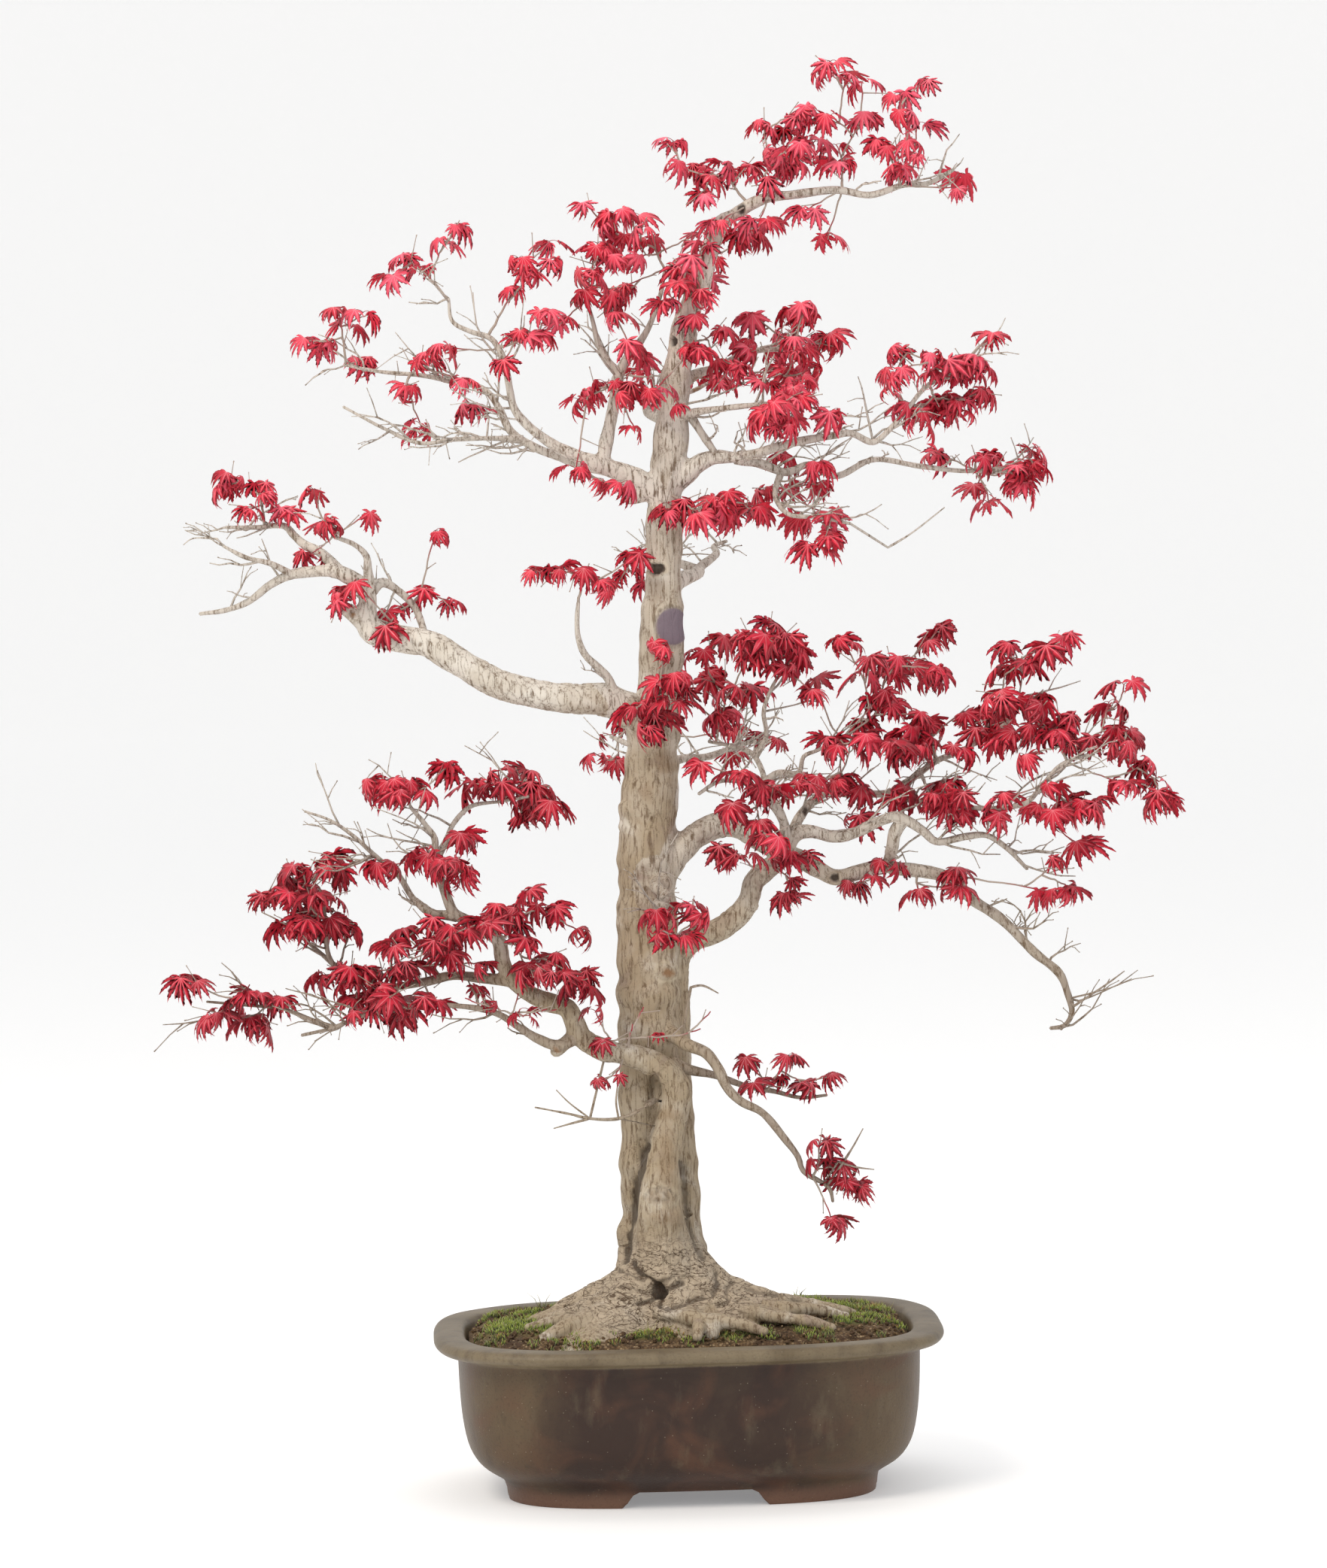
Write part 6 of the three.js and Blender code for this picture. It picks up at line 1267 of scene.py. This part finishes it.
# one flat palmate leaf of length 1: corners, faces of its upper side, and which corners lie on ribs or edges
def leafOutline():
    points, kinds, faces = [], [], []

    def corner(turn, along, across, kind):
        points.append((math.cos(turn) * along - math.sin(turn) * across,
                       math.sin(turn) * along + math.cos(turn) * across))
        kinds.append(kind)
        return len(points) - 1

    onRib, onTip, onEdge = 1, 0.4, 0
    base = corner(0, 0, 0, onRib)
    order = [(-angle, *rest) for angle, *rest in reversed(lobes[1:])] + lobes
    notches = [None]
    for (angleA, lengthA, *_), (angleB, lengthB, *_) in zip(order, order[1:]):
        reach = leaves["notch"] * (lengthA + lengthB) / 2
        notches.append(corner(math.radians((angleA + angleB) / 2), reach, 0, onEdge))
    notches.append(None)
    for index, (angle, length, wide, halfWidth) in enumerate(order):
        turn = math.radians(angle)
        isBig = length > 0.5
        shares = (0.4, wide, 0.72, 0.88) if isBig else (0.42, 0.72)
        widths = (0.96, 1.0, 0.66, 0.3) if isBig else (0.95, 0.7)
        ribs = [corner(turn, length * share, 0, onRib) for share in shares]
        tip = corner(turn, length, 0, onTip)
        for hand, notch in ((-1, notches[index]), (1, notches[index + 1])):
            edge = [corner(turn, length * share, hand * halfWidth * width, onEdge)
                    for share, width in zip(shares, widths)]
            teeth = []
            if isBig:
                for (s0, w0), (s1, w1) in zip(zip(shares, widths), zip(shares[1:], widths[1:])):
                    along = length * (s0 * 0.25 + s1 * 0.75 + 0.02)
                    across = hand * halfWidth * ((w0 * 0.25 + w1 * 0.75) + 0.3)
                    teeth.append(corner(turn, along, across, onEdge))
            triangles = [(base, edge[0], ribs[0])]
            if notch is not None:
                triangles = [(base, notch, ribs[0]), (notch, edge[0], ribs[0])]
            strip = list(zip(ribs, edge))
            for (r0, e0), (r1, e1) in zip(strip, strip[1:]):
                triangles += [(r0, e0, e1), (r0, e1, r1)]
            triangles.append((ribs[-1], edge[-1], tip))
            triangles += [(e0, tooth, e1) for tooth, e0, e1 in zip(teeth, edge, edge[1:])]
            faces += [(a, b, c) if hand < 0 else (a, c, b) for a, b, c in triangles]
    return np.array(points), np.array(kinds), np.array(faces)


# the leaf as a thin closed lens, its lobes bent down like a half closed umbrella
def leafShape(droop, fold, seed):
    draws = random.Random(seed)
    flat, kinds, faces = leafOutline()
    reach = np.hypot(flat[:, 0], flat[:, 1])
    turn = np.arctan2(flat[:, 1], flat[:, 0])
    turn = turn * draws.uniform(0.62, 1.06)
    bend = droop * (1 + 0.25 * np.sin(turn * 3 + draws.uniform(0, 6)))
    out = np.sin(bend * reach) / bend
    down = -(1 - np.cos(bend * reach)) / bend
    upper = np.stack([out * np.cos(turn), out * np.sin(turn), down], axis=1)
    isEdge = kinds < 0.2
    lift = np.where(isEdge, fold * np.minimum(reach, 0.5) * 0.16, 0.0)
    lift += 0.02 * np.sin(turn * 7 + draws.uniform(0, 6)) * reach
    upper[:, 2] += lift
    upper[:, 0] *= 1 + 0.05 * np.sin(turn * 5)
    # the two sides share their edge, and the under side has its own ribs
    own = np.where(~isEdge)[0]
    remap = np.arange(len(upper))
    remap[own] = len(upper) + np.arange(len(own))
    return upper, upper[own], kinds, own, remap, faces


def leafTemplates():
    # how far the lobes droop, and how the blade folds along them
    bends = [(0.5, 1.0), (0.9, 0.6), (1.3, 0.8), (0.7, 1.4), (1.1, -0.8), (1.7, 0.7), (0.35, 0.5),
             (1.0, 1.2), (1.5, 0.2), (0.8, -1.2), (1.9, 0.9), (0.6, -0.5), (1.2, 1.6), (2.1, 0.5)]
    return [leafShape(droop, fold, 100 + i) for i, (droop, fold) in enumerate(bends)]


# deshojo foliage in spring: thin satin leaves from pinkish crimson above to deep crimson below, partly their
# own colour and partly painted light from above and painted shade below, pale ribs
def makeLeafMaterial():
    material, tree, shader, place = newMaterial("crimsonMapleLeaf", 0.46, 1.42)
    painted = addNode(tree, "ShaderNodeAttribute", {"attribute_name": "leafy"}, {}).outputs["Color"]
    tone, rib, twig = addNode(tree, "ShaderNodeSeparateColor", {}, {"Color": painted}).outputs
    # 7 mm unevenness within a leaf
    blotch = addNode(tree, "ShaderNodeTexNoise", {}, {
        "Vector": place, "Scale": 140.0, "Detail": 3.0, "Roughness": 0.6}).outputs[0]
    shade = addNode(tree, "ShaderNodeMath", {"operation": "MULTIPLY_ADD"}, {
        0: blotch, 1: 0.4, 2: tone}).outputs[0]
    bough = layered(tree, leaves["tipTwig"], [(tone, 0.25, 0.5, 1.0, leaves["twig"])])
    colour = layered(tree, leaves["light"], [
        (shade, 0.2, 0.7, 1.0, leaves["middle"]),
        (shade, 0.7, 1.25, 1.0, leaves["deep"]),
        (rib, 0.78, 0.96, 0.5, leaves["rib"]),
        (twig, 0.4, 0.6, 1.0, bough)])
    tree.links.new(colour, shader.inputs["Base Color"])
    shader.inputs["Sheen Weight"].default_value = 0.1
    shader.inputs["Sheen Tint"].default_value = linear("#FFC8CC")
    return material


def growTwigs(ends, draws, more):
    # twigs fork from one place on the wood, each to one shoot, as the CAD's do
    goals = [np.array(surveyed(*end)) for end in ends]
    # further shoots fill in between neighbours
    for _ in range(int(more * len(ends))):
        one = draws.choice(goals[:len(ends)])
        near = sorted(goals[:len(ends)], key=lambda goal: np.linalg.norm(goal - one))[1:6]
        if near:
            share = draws.uniform(-leaves["beyond"], 1 + leaves["beyond"])
            aside = np.array([draws.gauss(middle, reach) for middle, reach in leaves["aside"]])
            goal = one * share + draws.choice(near) * (1 - share) + aside
            goal[1] = np.clip(goal[1], -leaves["deepest"], leaves["deepest"])
            goals.append(goal)
    goals[1:] = [goal + np.array([draws.gauss(0, 0.004) for _ in range(3)]) for goal in goals[1:]]
    goals.sort(key=lambda goal: np.linalg.norm(goal - np.array(surveyed(*ends[0]))))
    away = np.linalg.norm(springs[:, :3] - goals[0], axis=1) - springs[:, 3]
    spring = springs[int(np.argmin(away))]
    heading = unit(goals[0] - spring[:3])
    root = spring[:3] + heading * 0.75 * max(0, spring[3] - 0.004)
    forks = [(root, heading, 0.0)]
    twigs = []
    for number, goal in enumerate(goals):
        fork = min(forks, key=lambda f: np.linalg.norm(f[0] - goal) + 0.3 * f[2])
        reach = np.linalg.norm(goal - fork[0])
        bow = draws.uniform(-1.0, 1.0)
        middle = (fork[0] + goal) / 2 + fork[1] * 0.12 * reach
        middle = middle + np.array((0.1 * bow, -0.15 * bow, -0.1)) * reach
        line = bentLine(fork[0], middle, goal, 8)
        shaken = np.array([[draws.uniform(-1, 1) for _ in range(3)] for _ in range(7)])
        line[1:-1] += shaken * min(0.0006, reach * 0.02)
        first, other, tip = leaves["twigRadii"]
        foot = first if number == 0 else other
        radii = np.linspace(min(foot, max(0.0006, spring[3] * 0.9)), tip, 9)
        for share in (0.5, 0.7):
            point = bentLine(fork[0], middle, goal, 20)[int(share * 20)]
            forks.append((point, unit(goal - middle), fork[2] + np.linalg.norm(point - fork[0])))
        twigs.append((line, radii))
    return twigs


def growLeaf(foot, yaw, droop, size, roll, templates, draws):
    # a petiole that arches out, and the hanging blade at its end
    ahead = np.array((math.cos(yaw), math.sin(yaw), 0.0))
    stalk = draws.uniform(*leaves["petiole"]) / 1000
    end = foot + ahead * stalk * 0.85 + np.array((0, 0, stalk * draws.uniform(-0.1, 0.45)))
    petiole = tube(bentLine(foot, (foot + end) / 2 + np.array((0, 0, stalk * 0.25)), end, 3),
                   np.array(leaves["petioleRadii"]), 3)
    side = np.array((-ahead[1], ahead[0], 0.0))
    along = ahead * math.cos(droop) - np.array((0, 0, math.sin(droop)))
    up = np.cross(along, side)
    side, up = side * math.cos(roll) + up * math.sin(roll), up * math.cos(roll) - side * math.sin(roll)
    upper, lower, kinds, own, remap, faces = draws.choice(templates)
    scale = size / 1000
    thin = leaves["halfThickness"] / 1000
    axes = np.stack([along, side, up])
    top = end + (upper * scale) @ axes + up * thin * (kinds > 0.2)[:, None]
    bottom = end + (lower * scale) @ axes - up * thin
    corners = np.vstack([top, bottom])
    allFaces = np.vstack([faces, remap[faces][:, ::-1]])
    ribs = np.concatenate([kinds, kinds[own] * 0.4])
    return petiole, (corners, allFaces, ribs)


# the turn of each leaf of a shoot from its heading, in radians, and whether it sits further back
leafTurns = [(1.45, False), (-1.45, False), (0.0, False), (2.9, True)]


def makeSpray(name, ends, material, templates):
    draws = random.Random("spray " + name)
    parts, paint = [], []
    height = np.mean([end[2] for end in ends])
    # the top is a lighter pink, the lower boughs a deeper crimson: partly the leaves' own colour, partly
    # painted light on top and painted shade below
    base = float(np.interp(height, *leaves["redAndShadeByHeight"]))
    # leaves are larger on the lower boughs than at the top
    grown = float(np.interp(height, *leaves["sizeByHeight"]))
    if name in leaves["sparse"]:
        grown *= leaves["sparseSize"]
    elif name.startswith(leaves["full"]):
        grown *= leaves["fullSize"]
    more = leaves["between"] if name.startswith(leaves["full"]) else 0.0
    for line, radii in growTwigs(ends, draws, more):
        twig = tube(line, radii, leaves["twigSides"])
        parts.append(twig)
        rings = np.repeat(np.linspace(1.0, 0.0, len(line)), leaves["twigSides"])
        share = np.concatenate([rings, [1.0, 0.0]])
        paint.append(np.stack([share, np.zeros_like(share), np.ones_like(share)], axis=1))
        way = line[-1] - line[-3]
        facing = math.atan2(way[1], way[0]) if np.hypot(way[0], way[1]) > 1e-5 else draws.uniform(0, 6)
        count = draws.randint(*leaves["perShoot"])
        count -= 2 if name in leaves["sparse"] else 0
        # a small bare side twig with its bud
        side = unit(way) + np.array([draws.gauss(0, 0.7) for _ in range(3)])
        side *= draws.uniform(*leaves["sideTwig"]) / np.linalg.norm(side)
        start = line[draws.randint(3, 6)]
        bud = tube(np.array([start, start + side * 0.5, start + side, start + side * 1.12]),
                   np.array(leaves["budRadii"]), 4)
        parts.append(bud)
        paint.append(np.tile((0.6, 0.0, 1.0), (len(bud[0]), 1)))
        for turn, back in leafTurns[:count]:
            foot = line[-2] if back else line[-1]
            size = draws.uniform(*leaves["blade"]) * (leaves["backSize"] if back else 1.0) * grown
            yaw = facing + turn + draws.uniform(-leaves["yawSpread"], leaves["yawSpread"])
            droop = draws.uniform(*leaves["droop"])
            roll = draws.uniform(-leaves["rollSpread"], leaves["rollSpread"])
            petiole, blade = growLeaf(foot, yaw, droop, size, roll, templates, draws)
            if np.abs(blade[0][:, 1]).max() > leaves["reachY"] / 1000:
                continue
            tone = min(1.0, max(0.0, base + draws.gauss(0, leaves["toneSpread"])))
            parts.append(petiole)
            paint.append(np.tile((0.2, 0.0, 1.0), (len(petiole[0]), 1)))
            parts.append(blade[:2])
            paint.append(np.stack([np.full(len(blade[2]), tone), blade[2], np.zeros(len(blade[2]))], axis=1))
    corners, faces = joined(parts)
    piece = meshPiece("leafy_" + name, corners, faces, material, attributes={"leafy": np.vstack(paint)})
    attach(piece, "root")
    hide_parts("spray_" + name)
    return len(faces)


springs = np.vstack([np.hstack([points, radii[:, None]]) for name, (points, radii) in routeLines.items()
                     if not name.startswith("root")])
leafMaterial = makeLeafMaterial()
templates = leafTemplates()
total = sum(makeSpray(name, ends, leafMaterial, templates) for name, ends in sprays.items())
print("sprays grown with", total, "faces")


# the fine black plastic mesh of the drain screens, satin and slightly worn
def makeScreenPlastic():
    material, tree, shader, place = newMaterial("blackMeshPlastic", 0.5, 1.46)
    wear = addNode(tree, "ShaderNodeTexNoise", {}, {"Vector": place, "Scale": 300.0}).outputs[0]
    colour = addNode(tree, "ShaderNodeMix", asColour, {0: wear, 6: "#1E1F20", 7: "#303234"}).outputs[2]
    tree.links.new(colour, shader.inputs["Base Color"])
    return material


screenPlastic = makeScreenPlastic()
for name in ("drain_screen_left", "drain_screen_right"):
    screen = bpy.data.objects[name]
    for slotPlace in screen.material_slots:
        slotPlace.material = screenPlastic


stage = {
    "floor": "#E8E7E5", "floorGlow": 0.24, "flat": 11.0, "bend": 4.0, "wall": 7.0,  # metres
    "world": "#F8F9FB", "worldStrength": 0.85,
    # soft round lamps: name, place and target in metres, size, watts and colour
    "lights": [
        ("key", (-1.5, -2.2, 2.9), (0, 0, 0.6), 1.6, 66.0, "#FFF6EC"),
        ("fill", (2.6, -2.0, 1.4), (0, 0, 0.6), 2.2, 12.0, "#EEF3FF"),
        ("top", (0.1, 0.4, 3.0), (0, 0, 0.4), 2.0, 20.0, "#FFFFFF"),
    ],
}


def makeFloor():
    # a floor that curves up far away on every side, so that no view shows an edge
    material, _, shader, _ = newMaterial("paleFloor", 0.75, 1.45)
    shader.inputs["Base Color"].default_value = linear(stage["floor"])
    shader.inputs["Emission Color"].default_value = linear(stage["world"])
    shader.inputs["Emission Strength"].default_value = stage["floorGlow"]
    turns = np.linspace(0, 2 * math.pi, 96, endpoint=False)
    line = [(0.01, 0.0), (2.0, 0.0), (stage["flat"], 0.0)]
    for bend in np.linspace(0, math.pi / 2, 17)[1:]:
        line.append((stage["flat"] + stage["bend"] * math.sin(bend), stage["bend"] * (1 - math.cos(bend))))
    line.append((stage["flat"] + stage["bend"], stage["wall"]))
    corners = [(reach * math.cos(turn), reach * math.sin(turn), height)
               for reach, height in line for turn in turns]
    floor = meshPiece("stage_floor", corners, latheFaces(len(line), len(turns), False), material)


def addLight(name, place, target, size, energy, colour):
    data = bpy.data.lights.new(name, "AREA")
    data.shape = "DISK"
    data.size = size
    data.energy = energy
    data.color = linear(colour)[:3]
    light = bpy.data.objects.new(name, data)
    light.location = place
    light.rotation_euler = (Vector(target) - Vector(place)).to_track_quat("-Z", "Y").to_euler()
    bpy.context.collection.objects.link(light)


makeFloor()
for light in stage["lights"]:
    addLight(*light)
world = bpy.data.worlds.new("studio")
world.use_nodes = True
background = world.node_tree.nodes["Background"]
background.inputs["Color"].default_value = linear(stage["world"])
background.inputs["Strength"].default_value = stage["worldStrength"]
bpy.context.scene.world = world

# the photo's view: from the front at the height of the upper limbs, with the tree's lean taken upright
eye = surveyed(0, -survey["distance"], survey["height"])
aim = surveyed(*survey["aim"])
cameraData = bpy.data.cameras.new("front")
cameraData.sensor_fit = "VERTICAL"
cameraData.sensor_height = 36.0
cameraData.lens = cameraData.sensor_height * survey["pixelsPerRadian"] / survey["pixelsHigh"]
cameraData.clip_end = 40.0
camera = bpy.data.objects.new("front", cameraData)
bpy.context.collection.objects.link(camera)
back = (eye - aim).normalized()
upright = Vector((math.sin(leanAngle), 0, math.cos(leanAngle)))
right = upright.cross(back).normalized()
upright = back.cross(right)
camera.matrix_world = Matrix((
    (right.x, upright.x, back.x, eye.x), (right.y, upright.y, back.y, eye.y),
    (right.z, upright.z, back.z, eye.z), (0, 0, 0, 1)))
bpy.context.scene.camera = camera
bpy.context.scene.view_settings.view_transform = "Standard"

bpy.context.view_layer.update()
counts = {piece.name: sum(len(face.vertices) - 2 for face in piece.data.polygons)
          for piece in bpy.data.objects if piece.type == "MESH" and not piece.hide_render}
print("triangles in all:", sum(counts.values()), "and in the largest pieces:",
      sorted(counts.items(), key=lambda entry: -entry[1])[:4])
